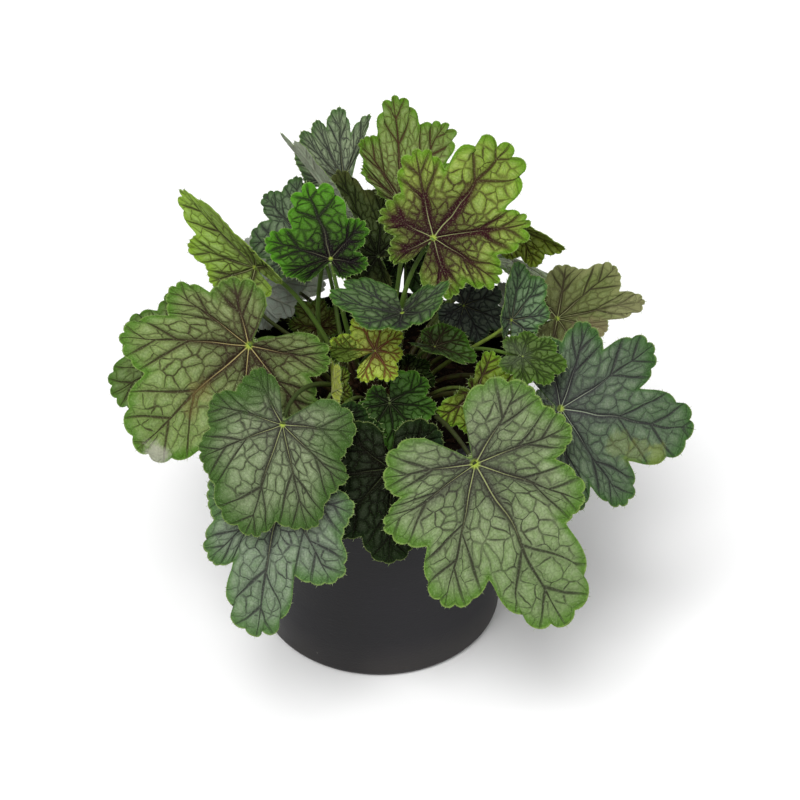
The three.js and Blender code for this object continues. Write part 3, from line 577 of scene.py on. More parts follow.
# ---- material helpers
def paint(code):
    """A linear colour from an sRGB code."""
    made = []
    for shift in (16, 8, 0):
        c = (code >> shift & 255) / 255
        made.append(c / 12.92 if c <= 0.04045 else ((c + 0.055) / 1.055) ** 2.4)
    return (*made, 1.0)


class Nodes:
    """Short ways to add nodes to a tree."""

    def __init__(self, tree):
        self.tree = tree

    def add(self, kind, inputs=None, **settings):
        node = self.tree.nodes.new(kind)
        for name, value in settings.items():
            setattr(node, name, value)
        for name, value in (inputs or {}).items():
            self.put(node.inputs[name], value)
        return node

    def put(self, socket, value):
        if isinstance(value, bpy.types.NodeSocket):
            self.tree.links.new(value, socket)
        else:
            socket.default_value = value

    def math(self, operation, *values, clamp=False):
        node = self.add("ShaderNodeMath", operation=operation, use_clamp=clamp)
        for socket, value in zip(node.inputs, values):
            self.put(socket, value)
        return node.outputs[0]

    def times(self, *values, clamp=False):
        return self.math("MULTIPLY", *values, clamp=clamp)

    def total(self, *values):
        return reduce(lambda made, value: self.math("ADD", made, value), values)

    def largest(self, *values):
        return reduce(lambda made, value: self.math("MAXIMUM", made, value), values)

    def stray(self, value, pattern, size):
        """A value moved by a pattern, by as much as half of size either way."""
        return self.math("MULTIPLY_ADD", self.math("SUBTRACT", pattern, 0.5), size, value)

    def vector(self, operation, *values):
        """A vector operation's result, which is a number for a length or a distance."""
        node = self.add("ShaderNodeVectorMath", dict(enumerate(values)), operation=operation)
        return node.outputs["Value" if operation in ("LENGTH", "DISTANCE") else 0]

    def part(self, vector, axis):
        return self.add("ShaderNodeSeparateXYZ", {"Vector": vector}).outputs[axis]

    def position(self):
        return self.add("ShaderNodeNewGeometry").outputs["Position"]

    def uv(self, name):
        return self.add("ShaderNodeUVMap", uv_map=name).outputs[0]

    def stretched(self, vector, scale):
        return self.add("ShaderNodeMapping", {"Vector": vector, "Scale": scale}).outputs[0]

    def span(self, value, low, high, to_low=0.0, to_high=1.0):
        names = {"From Min": low, "From Max": high, "To Min": to_low, "To Max": to_high, "Value": value}
        return self.add("ShaderNodeMapRange", names, interpolation_type="SMOOTHSTEP").outputs[0]

    def mix(self, share, a, b):
        """A colour between two, each a socket, a linear colour or an sRGB code."""
        node = self.add("ShaderNodeMix", data_type="RGBA")
        self.put(node.inputs[0], share)
        for socket, value in ((6, a), (7, b)):
            self.put(node.inputs[socket], paint(value) if isinstance(value, int) else value)
        return node.outputs[2]

    def noise(self, vector, scale, detail=2.0, roughness=0.5, colour=False):
        names = {"Vector": vector, "Scale": scale, "Detail": detail, "Roughness": roughness}
        return self.add("ShaderNodeTexNoise", names).outputs[1 if colour else 0]


class Material(Nodes):
    """A new material, with short ways to add nodes and to finish it."""

    def __init__(self, name, roughness, specular):
        self.material = bpy.data.materials.new(name)
        self.material.use_nodes = True
        super().__init__(self.material.node_tree)
        self.shader = self.tree.nodes["Principled BSDF"].inputs
        self.put(self.shader["Roughness"], roughness)
        self.put(self.shader["Specular IOR Level"], specular)

    def finish(self, colour, bump=None, roughness=None):
        """Sets the colour, the bump as (height, distance, strength), and a varied roughness."""
        self.put(self.shader["Base Color"], colour)
        if bump:
            names = dict(zip(("Height", "Distance", "Strength"), bump))
            self.put(self.shader["Normal"], self.add("ShaderNodeBump", names).outputs[0])
        if roughness:
            self.put(self.shader["Roughness"], roughness)
        return self.material


def vein_group():
    """The pattern of veins, from a blade's own flat coordinates in the UV map named leaf."""
    tree = bpy.data.node_groups.new("vein_net", "ShaderNodeTree")
    for name in ("Seed", "Cell", "Width"):
        tree.interface.new_socket(name, in_out="INPUT", socket_type="NodeSocketFloat")
    outputs = ("Main", "Core", "Side", "Net", "Fine", "Radius", "Along", "Rim", "Near", "Close", "Tint")
    for name in outputs:
        tree.interface.new_socket(name, in_out="OUTPUT", socket_type="NodeSocketFloat")
    n = Nodes(tree)
    given = n.add("NodeGroupInput").outputs
    seed, cell, width = given["Seed"], given["Cell"], given["Width"]
    flat = n.uv("leaf")
    u, v = n.part(flat, 0), n.part(flat, 1)
    rim, length = n.part(n.uv("rim"), 0), n.part(n.uv("rim"), 1)
    radius = n.vector("LENGTH", flat)
    angle = n.math("ABSOLUTE", n.math("ARCTAN2", u, v))
    steps = [n.math("GREATER_THAN", angle, math.radians(notch)) for notch in NOTCH_ANGLES[:3]]
    lobe = n.total(*[
        n.times(step, math.radians(high - low))
        for step, low, high in zip(steps, LOBE_ANGLES, LOBE_ANGLES[1:])
    ])
    turned = n.math("SUBTRACT", angle, lobe)
    along = n.times(radius, n.math("COSINE", turned))
    beside = n.math("ABSOLUTE", n.times(radius, n.math("SINE", turned)))
    key = n.total(
        n.times(n.total(*steps), 2.0),
        n.math("GREATER_THAN", turned, 0.0),
        n.times(n.math("GREATER_THAN", u, 0.0), 8.0),
    )
    sway = n.math("SINE", n.math("MULTIPLY_ADD", key, VEIN_TURN, seed))
    start = n.math("MULTIPLY_ADD", sway, VEIN_SHIFT, VEIN_PHASE)

    # side veins
    curve = n.math("DIVIDE", n.times(n.times(beside, beside), VEIN_CURVE), length)
    foot = n.math("SUBTRACT", n.math("MULTIPLY_ADD", beside, -VEIN_SLANT, along), curve)
    foot = n.math("DIVIDE", foot, length)
    step = n.math("MULTIPLY_ADD", foot, 1 / VEIN_STEP, start)
    part = n.math("ABSOLUTE", n.math("SUBTRACT", n.math("FRACT", step), 0.5))
    side_gap = n.times(n.times(part, VEIN_STEP * VEIN_SINE), length)
    shown = n.span(foot, VEIN_START, VEIN_START + VEIN_FADE)
    side_far = n.math("ADD", side_gap, n.times(n.math("SUBTRACT", 1.0, shown), 0.2))

    # the net between them: cells that grow outwards and lie along the leaf
    grow = n.math("POWER", n.math("MAXIMUM", radius, 0.02), -0.3)
    scale = n.math("DIVIDE", grow, cell)
    shake = n.mix(0.12, n.noise(flat, 7.0, 1.0, colour=True), n.noise(flat, 22.0, 1.0, colour=True))
    offset = n.vector("SUBTRACT", shake, (0.5, 0.5, 0.5))
    spread = n.add("ShaderNodeVectorMath", {0: flat, "Scale": scale}, operation="SCALE").outputs[0]
    shift = n.add("ShaderNodeCombineXYZ", {"X": n.times(seed, 7.3), "Y": seed}).outputs[0]
    cells = n.vector("MULTIPLY_ADD", offset, (1.2, 1.2, 0.0), n.vector("ADD", spread, shift))
    coarse = {"Vector": cells, "Scale": 1.0, "Randomness": 0.85}
    two = dict(voronoi_dimensions="2D", feature="DISTANCE_TO_EDGE")
    net_gap = n.math("DIVIDE", n.add("ShaderNodeTexVoronoi", coarse, **two).outputs["Distance"], scale)
    each = n.add("ShaderNodeTexVoronoi", coarse, voronoi_dimensions="2D", feature="F1").outputs["Color"]
    finer = {"Vector": cells, "Scale": 3.3, "Randomness": 0.9}
    fine_gap = n.add("ShaderNodeTexVoronoi", finer, **two).outputs["Distance"]

    # widths, which shrink outwards and vary from place to place
    vary = n.times(n.span(n.noise(flat, 5.0, 3.0), 0.3, 0.7, 0.55, 1.45), width)
    thin = n.times(n.span(n.noise(flat, 8.0, 2.0), 0.35, 0.65, 0.4, 1.5), width)
    grown = n.math("DIVIDE", along, length)
    main_width = n.times(n.span(grown, 0.0, 1.0, 0.024, 0.006), vary)
    side_width = n.times(n.span(beside, 0.0, 0.3, 0.015, 0.0065), vary)
    net_width = n.times(n.span(radius, 0.0, 0.9, 0.009, 0.0065), thin)
    core_width = n.span(grown, 0.0, 0.6, 0.0042, 0.002)

    def band(gap, size, inner):
        return n.span(n.math("DIVIDE", gap, size), inner, 1.0, 1.0, 0.0)

    near = n.math("MINIMUM", beside, side_far)
    clear = n.span(near, 0.006, 0.02)
    made = {
        "Main": band(beside, main_width, 0.15), "Core": band(beside, core_width, 0.3),
        "Side": n.times(band(side_gap, side_width, 0.1), shown),
        "Net": n.times(band(net_gap, net_width, 0.0), clear),
        "Fine": n.span(fine_gap, 0.0, 0.16, 1.0, 0.0), "Radius": radius, "Along": grown, "Rim": rim,
        "Near": near, "Close": n.math("MINIMUM", near, n.math("ADD", net_gap, 0.01)),
        "Tint": n.part(each, 0),
    }
    group_output = n.add("NodeGroupOutput")
    for name in outputs:
        n.put(group_output.inputs[name], made[name])
    return tree


VEINS = vein_group()


def vein_nodes(n, leaf, look):
    """The vein pattern's outputs for one leaf."""
    net = n.add("ShaderNodeGroup", node_tree=VEINS)
    net.inputs["Seed"].default_value = float(leaf["seed"])
    net.inputs["Cell"].default_value = CELL * look["cell"] * (NET_REACH / leaf["reach"]) ** SCALING
    net.inputs["Width"].default_value = look["width"] * (VEIN_REACH / leaf["reach"]) ** SCALING
    return net.outputs


def upper_material(name, leaf, look):
    """A blade's upper face."""
    seed = leaf["seed"]
    n = Material(f"upper_{name}", 0.5, look["gloss"])
    out = vein_nodes(n, leaf, look)
    flat = n.uv("leaf")
    apart = {"Vector": flat, "Location": (seed * 3.1, seed * 1.7, 0)}
    place = n.add("ShaderNodeMapping", apart).outputs[0]
    cloud = n.noise(place, 3.0, 3.0)
    grain = n.noise(place, 42.0, 2.0)
    margin, vein = look["margin"], look["vein"]

    # the panels between the veins, each its own shade and palest in its middle
    dark = n.mix(0.5, look["panel"], margin)
    panel = n.mix(n.span(cloud, 0.35, 0.65, 0.0, 0.45), look["panel"], dark)
    panel = n.mix(n.span(out["Tint"], 0.0, 1.0, 0.0, 0.4), panel, dark)
    bright = n.mix(0.25, look["panel"], (0.62, 0.7, 0.5, 1))
    panel = n.mix(n.span(out["Close"], 0.015, 0.045, 0.0, look["glow"]), panel, bright)
    panel = n.mix(n.span(grain, 0.35, 0.7, 0.0, 0.3), panel, margin)
    panel = n.mix(n.span(out["Radius"], 0.15, 0.95, 0.0, 0.3), panel, margin)
    ragged = n.stray(out["Rim"], cloud, 0.13)
    edge = n.span(ragged, 0.0, look["rim"], 1.0, 0.0)
    panel = n.mix(n.times(edge, 0.92), panel, margin)

    # veins, with a haze of their colour beside them, fade towards the edge, the finest first
    inner = n.span(ragged, 0.02, look["rim"] + 0.05, 0.15, 1.0)
    wide = n.times(n.span(out["Near"], 0.0, 0.065, 0.85, 0.0), n.span(cloud, 0.3, 0.65, 0.5, 1.1))
    haze = n.math("MAXIMUM", wide, n.span(out["Close"], 0.0, 0.035, 0.4, 0.0))
    haze = n.times(haze, n.span(out["Radius"], 0.1, 0.9, look["smoke"], 0.25))
    panel = n.mix(n.times(haze, inner), panel, look["haze"])
    fine = n.times(out["Fine"], n.times(inner, 0.16))
    faded = n.times(n.span(n.noise(place, 6.0, 2.0), 0.35, 0.6, 0.45, 1.0), look["net"])
    lines = n.times(out["Net"], n.times(inner, faded))
    sides = n.times(out["Side"], n.span(out["Rim"], 0.0, 0.12, 0.35, 0.85))
    mains = n.times(out["Main"], n.span(out["Rim"], 0.0, 0.12, 0.4, 0.9))
    colour = n.mix(n.largest(fine, lines, sides, mains), panel, vein)

    stain = n.span(out["Radius"], 0.0, look["spread"], look["stain"], 0.0)
    blotch = n.times(stain, n.span(cloud, 0.25, 0.6, 0.6, 1.15), clamp=True)
    veiny = n.times(stain, n.span(out["Close"], 0.0, 0.05, 1.0, 0.35))
    colour = n.mix(n.largest(n.times(blotch, 0.75), veiny), colour, look["centre"])
    pale = n.times(out["Core"], n.span(out["Along"], 0.05, 0.6, 0.8, 0.0))
    colour = n.mix(pale, colour, look["rib"])
    line = n.mix(0.5, margin, 0x9CB064)
    colour = n.mix(n.span(out["Rim"], 0.004, 0.014, 0.7, 0.0), colour, line)
    colour = n.mix(n.span(out["Radius"], 0.008, 0.035, 0.9, 0.0), colour, look["hub"])
    for across, up, size, tint, strength in look["spots"]:
        centre = n.vector("DISTANCE", flat, (across, up, 0))
        rough = n.stray(centre, n.noise(place, 14.0, 4.0, 0.7), 1.5 * size)
        colour = n.mix(n.span(rough, 0.4 * size, size, strength, 0.0), colour, tint)
    fuzz = n.noise(place, 95.0, 2.0)
    colour = n.mix(n.span(fuzz, 0.52, 0.72, 0.0, 0.2), colour, bright)
    colour = n.mix(n.span(fuzz, 0.28, 0.48, 0.2, 0.0), colour, vein)
    # painted shade: leaves deep inside the plant are darkened towards near black, for the shadow they lie
    # in
    if look["painted_shade"]:
        colour = n.mix(look["painted_shade"], colour, 0x0A0D06)

    ridges = n.largest(
        n.times(out["Fine"], 0.25), n.times(out["Net"], 0.7), out["Side"], out["Main"])
    swell = n.span(out["Close"], 0.0, 0.05)
    height = n.total(n.times(grain, 0.12), n.times(swell, 0.9), n.times(ridges, -0.8))
    return n.finish(colour, (height, 0.0011, 0.75), n.span(grain, 0.3, 0.7, 0.44, 0.56))


def under_material(name, leaf, look):
    """A blade's underside, paler, with raised veins."""
    n = Material(f"under_{name}", 0.65, 0.08)
    out = vein_nodes(n, leaf, look)
    flat = n.uv("leaf")
    cloud = n.noise(flat, 4.0 + 0.1 * leaf["seed"], 3.0)
    panel = n.mix(0.35, look["under"], look["panel"])
    panel = n.mix(n.span(cloud, 0.35, 0.65, 0.0, 0.3), panel, 0x8A7E78)
    lines = n.largest(
        n.times(out["Net"], 0.3), n.times(out["Side"], 0.45), n.times(out["Main"], 0.4))
    colour = n.mix(lines, panel, 0x6A605C)
    colour = n.mix(n.times(out["Core"], 0.6), colour, 0xA9AC86)
    ridges = n.largest(
        n.times(out["Fine"], 0.2), n.times(out["Net"], 0.6), out["Side"], out["Main"])
    return n.finish(colour, (ridges, 0.0009, 0.6))


def stalk_material(name, low, high):
    """A petiole, redder at its foot."""
    n = Material(name, 0.5, 0.2)
    where = n.position()
    streak = n.noise(n.stretched(where, (400, 400, 60)), 1.0, 3.0)
    mixed = n.stray(n.part(where, 2), streak, 0.05)
    colour = n.mix(n.span(mixed, 0.135, 0.185), low, high)
    colour = n.mix(n.span(streak, 0.5, 0.75, 0.0, 0.4), colour, low)
    return n.finish(colour, (streak, 0.0004, 0.5))


STALKS = {
    "green": stalk_material("stalk_green", 0x3A2418, 0x55702C),
    "bright": stalk_material("stalk_bright", 0x4A4A1E, 0x8CA644),
    "dark": stalk_material("stalk_dark", 0x241A12, 0x38461E),
}


def hair_material():
    n = Material("leaf_hair", 0.6, 0.15)
    tint = n.noise(n.position(), 900.0, 2.0)
    return n.finish(n.mix(n.span(tint, 0.4, 0.6), 0x7C9454, 0xA8B484))


HAIR = hair_material()


# ---- leaves
UPPER_SLOT, UNDER_SLOT, STALK_SLOT, HAIR_SLOT = range(4)
HAIR_GAP = 1.25
HAIR_SINK = 0.15
HAIR_PEAK = 1.5  # the least length of a hair at a tooth's tip and, next, of the others
HAIR_SHORT = 0.7
PETIOLE_POINTS = 25
PETIOLE_SIDES = 10


def leaf_detail(reach):
    """Points to each half of a lobe's edge, and rings of points inside it."""
    if reach >= 60:
        return 25, 34
    if reach >= 40:
        return 20, 24
    return 15, 16


# The relief of a blade, as shares of the leaf's reach. The grooves of the main and side veins and
# the ribs under them have these half widths, and a panel rises to its full height at these
# distances from them. All of it fades towards the rim.
GROOVE_MAIN, GROOVE_SIDE = 0.022, 0.016
RIB_MAIN, RIB_SIDE = 0.013, 0.01
PANEL_MAIN, PANEL_SIDE = 0.06, 0.05
PANEL_RISE = 0.0075
RIB_RISE_MAIN, RIB_RISE_SIDE = 0.011, 0.004
RIM_FADE = 0.06
DIMPLE_SIZE = 0.035  # the dimple over the petiole
DIMPLE_DEPTH = 0.4  # mm


def hill(distance, width):
    return np.exp(-((distance / width) ** 2))


def blade(leaf):
    """A blade's vertices, faces, marks, face slots, sharp corners, and what its hairs need.

    The marks are each vertex's flat coordinates, distance from the rim and lobe length.
    """
    reach, seed = leaf["reach"], leaf["seed"]
    count, rings = leaf_detail(reach)
    angles = np.array(rim_angles(count))
    body, tooth = np.array([outline(leaf, angle) for angle in angles]).T
    nth = np.floor(np.arange(len(angles)) / (0.2 * count) + 0.5)
    depth = np.array([0.7 + 0.6 * chance(k + 3 * seed) for k in nth]) * tooth
    uneven = 1 + 0.012 * np.sin(np.radians(angles) * 9 + phase(seed + 20))
    body = body * uneven

    shares = 1 - np.arange(rings) / rings
    usual = np.radians(angles)
    edge = uneven[:, None] * edge_points(leaf, angles)
    after, before = np.minimum(angles + 1, 180), np.maximum(angles - 1, -180)
    way = edge_points(leaf, after) - edge_points(leaf, before)
    dip = (depth / np.hypot(*way.T))[:, None] * np.stack([-way[:, 1], way[:, 0]], 1)
    flat, net, rim, numbers = [], [], [], []
    for share in shares:
        stride = 1 if share > 0.5 else 2 if share > 0.25 else 4
        pick = np.arange(0, len(angles), stride)
        radius = share * (body[pick] - depth[pick] * share**5)
        start = sum(len(part) for part in flat)
        flat.append((share * edge[pick] - share**6 * dip[pick]) * (leaf["wide"], 1))
        net.append(np.stack([radius * np.sin(usual[pick]), radius * np.cos(usual[pick])], 1))
        rim.append((1 - share) * body[pick])
        numbers.append(np.arange(start, start + len(pick)))
    flat.append(np.zeros((1, 2)))
    net.append(np.zeros((1, 2)))
    rim.append(np.array([body.mean()]))
    flat, net, rim = np.concatenate(flat), np.concatenate(net), np.concatenate(rim)
    middle = len(flat) - 1

    faces = []
    for outer, inner in zip(numbers, numbers[1:]):
        faces += ring_faces(outer, inner)
    last = numbers[-1]
    faces += np.stack([last, np.full(len(last), middle), np.roll(last, -1)], 1).tolist()

    # the bent surface, and the relief of its veins
    x, y = flat[:, 0] * reach, flat[:, 1] * reach
    surface = bend(leaf, x, y)
    step = 0.4
    across = bend(leaf, x + step, y) - bend(leaf, x - step, y)
    upward = bend(leaf, x, y + step) - bend(leaf, x, y - step)
    normal = np.cross(across, upward)
    normal /= np.linalg.norm(normal, axis=1)[:, None]
    u, v = warped(net[:, 0], net[:, 1], seed)
    length = lobe_lengths(leaf, u, v)
    main, side, along, shown = vein_places(u, v, length, seed)
    inside = np.clip(rim / RIM_FADE, 0, 1)
    grown = np.clip(along, 0, 1)
    groove = (1 - 0.5 * grown) * hill(main, GROOVE_MAIN)
    groove = np.maximum(groove, 0.6 * shown * hill(side, GROOVE_SIDE))
    beside = np.maximum(np.clip(side / PANEL_SIDE, 0, 1), 1 - shown)
    pillow = np.minimum(np.clip(main / PANEL_MAIN, 0, 1), beside)
    dimple = DIMPLE_DEPTH * hill(np.hypot(u, v), DIMPLE_SIZE)
    relief = PANEL_RISE * reach * inside * (0.9 * pillow - groove) - dimple
    ridge = RIB_RISE_MAIN * reach * (1 - 0.8 * grown) * hill(main, RIB_MAIN)
    ridge = np.maximum(ridge, RIB_RISE_SIDE * reach * shown * hill(side, RIB_SIDE)) * inside
    thick = BLADE_THICKNESS * (0.55 + 0.45 * inside) + ridge
    upper = surface + normal * relief[:, None]
    lower = upper - normal * thick[:, None]

    size = len(upper)
    slots = [UPPER_SLOT] * len(faces) + [UNDER_SLOT] * len(faces)
    faces = faces + [[i + size for i in reversed(face)] for face in faces]
    edge, after = numbers[0], np.roll(numbers[0], -1)
    strip = np.stack([edge, after, after + size, edge + size], 1).tolist()
    slots += [UPPER_SLOT] * len(strip)
    sharp = np.zeros(2 * size, int)
    sharp[edge] = 1
    sharp[edge + size] = 2
    tips = dict(edge=edge, tooth=tooth, upper=upper, lower=lower, normal=normal)
    marks = np.stack([u, v, rim, length], 1)
    return np.concatenate([upper, lower]), faces + strip, marks, slots, sharp, tips


def hairs(leaf, tips, first):
    """Short stiff hairs along the rim, longest at the tips of its teeth."""
    edge = tips["edge"]
    middle = (tips["upper"][edge] + tips["lower"][edge]) / 2
    along = np.roll(middle, -1, 0) - np.roll(middle, 1, 0)
    along /= np.maximum(np.linalg.norm(along, axis=1), 1e-6)[:, None]
    normal = tips["normal"][edge]
    out = np.cross(normal, along)
    out /= np.linalg.norm(out, axis=1)[:, None]
    vertices, faces = [], []
    walked = 0.0
    for i, spot in enumerate(middle):
        walked += np.linalg.norm(middle[i] - middle[i - 1])
        peak = tips["tooth"][i] < 1e-6
        if not peak and walked < HAIR_GAP:
            continue
        walked = 0.0
        draw = chance(i * 1.7 + leaf["seed"] * 5.3)
        length = (HAIR_PEAK if peak else HAIR_SHORT) + 0.6 * draw
        lean = out[i] + along[i] * (1.2 * draw - 0.6) + normal[i] * (chance(i + 0.5) - 0.5)
        wide = 0.2 if peak else 0.11
        start = first + len(vertices)
        base = spot - out[i] * HAIR_SINK
        vertices += [
            base + along[i] * wide, base - along[i] * wide * 0.5 + normal[i] * wide * 0.8,
            base - along[i] * wide * 0.5 - normal[i] * wide * 0.8, base + unit(lean) * length]
        faces += [[start, start + 2, start + 1], [start, start + 1, start + 3],
                  [start + 1, start + 2, start + 3], [start + 2, start, start + 3]]
    return np.array(vertices), faces


def crown_top(distance):
    return SOIL_TOP + CROWN_RISE * math.sqrt(1 - (distance / CROWN_RADIUS) ** 2)


def petiole(leaf, first):
    """A tapering stalk from the crown to the blade's underside."""
    distance, bearing = leaf["root"]
    _, tip, up = leaf_axes(leaf)
    end = np.array(leaf["at"], float) - up
    out = outward(math.radians(bearing))
    rising = unit(np.array([0, 0, 1.0]) + out * distance / CROWN_RADIUS)
    foot = out * distance + np.array([0, 0, crown_top(distance)]) - rising * PETIOLE_SINK
    arriving = unit(0.9 * tip + 0.6 * up)
    reach = np.linalg.norm(end - foot)
    handle = (
        foot, foot + rising * PETIOLE_RISE * reach, end - arriving * leaf["sweep"] * reach, end)
    t = np.linspace(0, 1, PETIOLE_POINTS)[:, None]
    path = sum(c * (1 - t) ** (3 - k) * t**k * p for k, (c, p) in enumerate(zip((1, 3, 3, 1), handle)))
    share = t[:, 0]
    thick = min(1.0, 0.65 + leaf["reach"] / 160)
    radii = thick * (1.55 - 0.6 * share + 0.7 * np.exp(-share / 0.04) + 0.25 * np.exp((share - 1) / 0.03))
    return tube(path, radii, PETIOLE_SIDES, first)


def add_leaf(name, leaf, look):
    vertices, faces, marks, slots, sharp, tips = blade(leaf)
    hair_points, hair_faces = hairs(leaf, tips, len(vertices))
    axes = np.array(leaf_axes(leaf))
    vertices = np.concatenate([vertices, hair_points]) @ axes + np.array(leaf["at"], float)
    stalk, stalk_faces = petiole(leaf, len(vertices))
    slots = slots + [HAIR_SLOT] * len(hair_faces) + [STALK_SLOT] * len(stalk_faces)
    faces = faces + hair_faces + stalk_faces
    total = len(vertices) + len(stalk)
    corners = np.zeros(total, int)
    corners[: len(sharp)] = sharp
    materials = [
        upper_material(name, leaf, look), under_material(name, leaf, look),
        STALKS[look["stalk"]], HAIR]
    piece = add_piece(
        f"plant_{name}", np.concatenate([vertices, stalk]), faces, materials, f"leaf_{name}",
        slots, corners)
    maps = np.full((total, 4), 0.5)
    maps[: 2 * len(marks)] = np.concatenate([marks, marks])
    corner = np.empty(len(piece.data.loops), int)
    piece.data.loops.foreach_get("vertex_index", corner)
    for map_name, values in (("leaf", maps[:, :2]), ("rim", maps[:, 2:])):
        layer = piece.data.uv_layers.new(name=map_name)
        layer.uv.foreach_set("vector", values[corner].astype(np.float32).ravel())


for number, (leaf_name, shape) in enumerate(LEAVES.items()):
    own_look = LOOKS[leaf_name]
    full_look = {**USUAL, **TONES[own_look["tone"]], **own_look}
    add_leaf(leaf_name, {**shape, "seed": number + 1}, full_look)

# ---- pot
# (radius, height) from the middle of the underside round the rim to the middle of the inside
POT_SHAPE = (
    (0, 1.0), (53, 1.0), (55.5, 0.6), (57, 0), (61, 0), (62.4, 0.3), (63.8, 1.1), (64.6, 2.2),
    (65, 3.4), (67.2, 40), (69.7, 80), (72.2, 120), (73.3, 137.6), (73.5, 138.4), (74.2, 138.9),
    (74.8, 139.4), (75, 140.2), (75, 144), (75, 148.6), (74.8, 149.4), (74.3, 149.9), (73.6, 150),
    (72.9, 149.9), (72.4, 149.4), (72.2, 148.6), (72, 142), (71.8, 136), (69.9, 100), (67.1, 60),
    (64, 8), (63.2, 4.6), (61.6, 2.9), (60, 2.6), (0, 2.6))
POT_SIDES = 160
# round holes in the floor, and slots through the foot of the wall
DRAIN = dict(holes=6, ring=42, radius=4.5, slots=4, base=65, slot_radius=2.6)


def cut(piece, solids):
    """Takes closed meshes, given as vertices and faces in millimetres, out of a piece."""
    for vertices, faces in solids:
        tool = add_object("cutter", new_mesh("cutter", vertices, faces))
        change = piece.modifiers.new("cut", "BOOLEAN")
        change.operation, change.solver, change.object = "DIFFERENCE", "EXACT", tool
        bpy.context.view_layer.update()
        seen = piece.evaluated_get(bpy.context.evaluated_depsgraph_get())
        made = bpy.data.meshes.new_from_object(seen)
        piece.modifiers.remove(change)
        piece.data = made
        bpy.data.objects.remove(tool)


def pot_material():
    n = Material("pot_plastic", 0.5, 0.22)
    where = n.position()
    cloud = n.noise(where, 14.0, 4.0)
    grain = n.noise(where, 900.0, 2.0)
    scuff = n.noise(n.stretched(where, (90, 90, 900)), 1.0, 3.0, 0.6)
    colour = n.mix(n.span(cloud, 0.35, 0.65), 0x121114, 0x1B1A1E)
    colour = n.mix(n.span(scuff, 0.62, 0.8, 0.0, 0.2), colour, 0x3E3D42)
    specks = n.add("ShaderNodeTexVoronoi", {"Vector": where, "Scale": 95.0, "Randomness": 1.0})
    rare = n.math("GREATER_THAN", n.part(specks.outputs["Color"], 0), 0.9)
    dust = n.times(n.span(specks.outputs["Distance"], 0.03, 0.07, 0.65, 0.0), rare)
    colour = n.mix(dust, colour, 0x8A8780)
    height = n.part(where, 2)
    low = n.times(n.span(height, 0.0, 0.03, 0.3, 0.0), n.span(cloud, 0.4, 0.6, 0.4, 1.0))
    colour = n.mix(low, colour, 0x4A443E)
    # painted shade: the pot's inner wall above the soil is darkened towards black, as if in the shadow of
    # the rim
    across = n.vector("LENGTH", n.vector("MULTIPLY", where, (1, 1, 0)))
    inside = n.times(n.span(across, 0.0718, 0.0728, 1.0, 0.0), n.span(height, 0.12, 0.13))
    colour = n.mix(n.times(inside, 0.7), colour, 0x070605)
    relief = n.math("MULTIPLY_ADD", scuff, 0.5, grain)
    return n.finish(colour, (relief, 0.00025, 0.35), n.span(cloud, 0.3, 0.7, 0.42, 0.58))


def add_pot():
    rings = [circle(radius, POT_SIDES, height) for radius, height in POT_SHAPE[1:-1]]
    vertices, faces = lofted((0, 0, POT_SHAPE[0][1]), rings, (0, 0, POT_SHAPE[-1][1]))
    pot = add_piece("nursery_pot", vertices, faces, [pot_material()], "pot")
    tools = []
    for i in range(DRAIN["holes"]):
        centre = DRAIN["ring"] * outward(2 * math.pi * i / DRAIN["holes"])
        tools.append(tube([centre + (0, 0, z) for z in (-5, 0, 8)], [DRAIN["radius"]] * 3, 20, 0))
    for i in range(DRAIN["slots"]):
        out = outward(2 * math.pi * (i + 0.5) / DRAIN["slots"])
        path = [out * (DRAIN["base"] + d) for d in (-5, 0, 6)]
        tools.append(tube(path, [DRAIN["slot_radius"]] * 3, 16, 0))
    cut(pot, tools)
    pot.data.polygons.foreach_set("use_smooth", [True] * len(pot.data.polygons))
    pot.data.set_sharp_from_angle(angle=math.radians(40))


# ---- soil and crown
SOIL_EDGE = 71.0
SOIL_WALL = ((60, 3.2), (63, 6.5), (SOIL_EDGE, 131))  # (radius, height)
SOIL_SIDES, SOIL_RINGS = 150, 52
CHIPS = 420
CHIP_LEVELS = ((0.6, -1), (1, -0.3), (0.9, 0.5), (0.5, 1))  # (width, height)
CIRCLE = 6.283  # a full turn for the chips
CROWN_EDGE = 0.995 * CROWN_RADIUS
CROWN_SIDES, CROWN_RINGS = 90, 26
STUBS = 46


def lumps(x, y, pitch, detail=4):
    """Fractal noise from about -1 to 1 at a point in millimetres."""
    return noise.fractal(Vector((x / pitch, y / pitch, 3.7)), 0.9, 2.0, detail)


def soil_height(x, y):
    distance = math.hypot(x, y)
    swell = 1.6 * (math.sin(0.31 * x + 1.3) * math.cos(0.27 * y) + 0.6 * math.sin(0.53 * (x - y)))
    edge = min(1.0, (SOIL_EDGE - distance) / 5)
    rough = 1.5 * lumps(x, y, 9.0) + 0.8 * lumps(x, y, 3.0, 3)
    return SOIL_TOP - 2 * (distance / SOIL_EDGE) ** 2 + (swell * 0.6 + rough) * edge


def soil_material():
    n = Material("potting_soil", 0.9, 0.05)
    where = n.position()
    cloud = n.noise(where, 60.0, 5.0, 0.65)
    crumb = n.noise(where, 420.0, 4.0, 0.7)
    colour = n.mix(n.span(cloud, 0.35, 0.65), 0x110C09, 0x221912)
    colour = n.mix(n.span(crumb, 0.58, 0.75, 0.0, 0.6), colour, 0x40301F)
    return n.finish(colour, (crumb, 0.0012, 0.9), n.span(cloud, 0.3, 0.7, 0.98, 0.8))


def bark_material(name, dark, light):
    n = Material(name, 0.8, 0.08)
    where = n.position()
    fibre = n.noise(n.stretched(where, (300, 900, 500)), 1.0, 4.0, 0.6)
    patch = n.noise(where, 70.0, 2.0)
    colour = n.mix(n.span(fibre, 0.35, 0.65), dark, light)
    colour = n.mix(n.span(patch, 0.45, 0.7, 0.0, 0.5), colour, dark)
    return n.finish(colour, (fibre, 0.0008, 0.8))


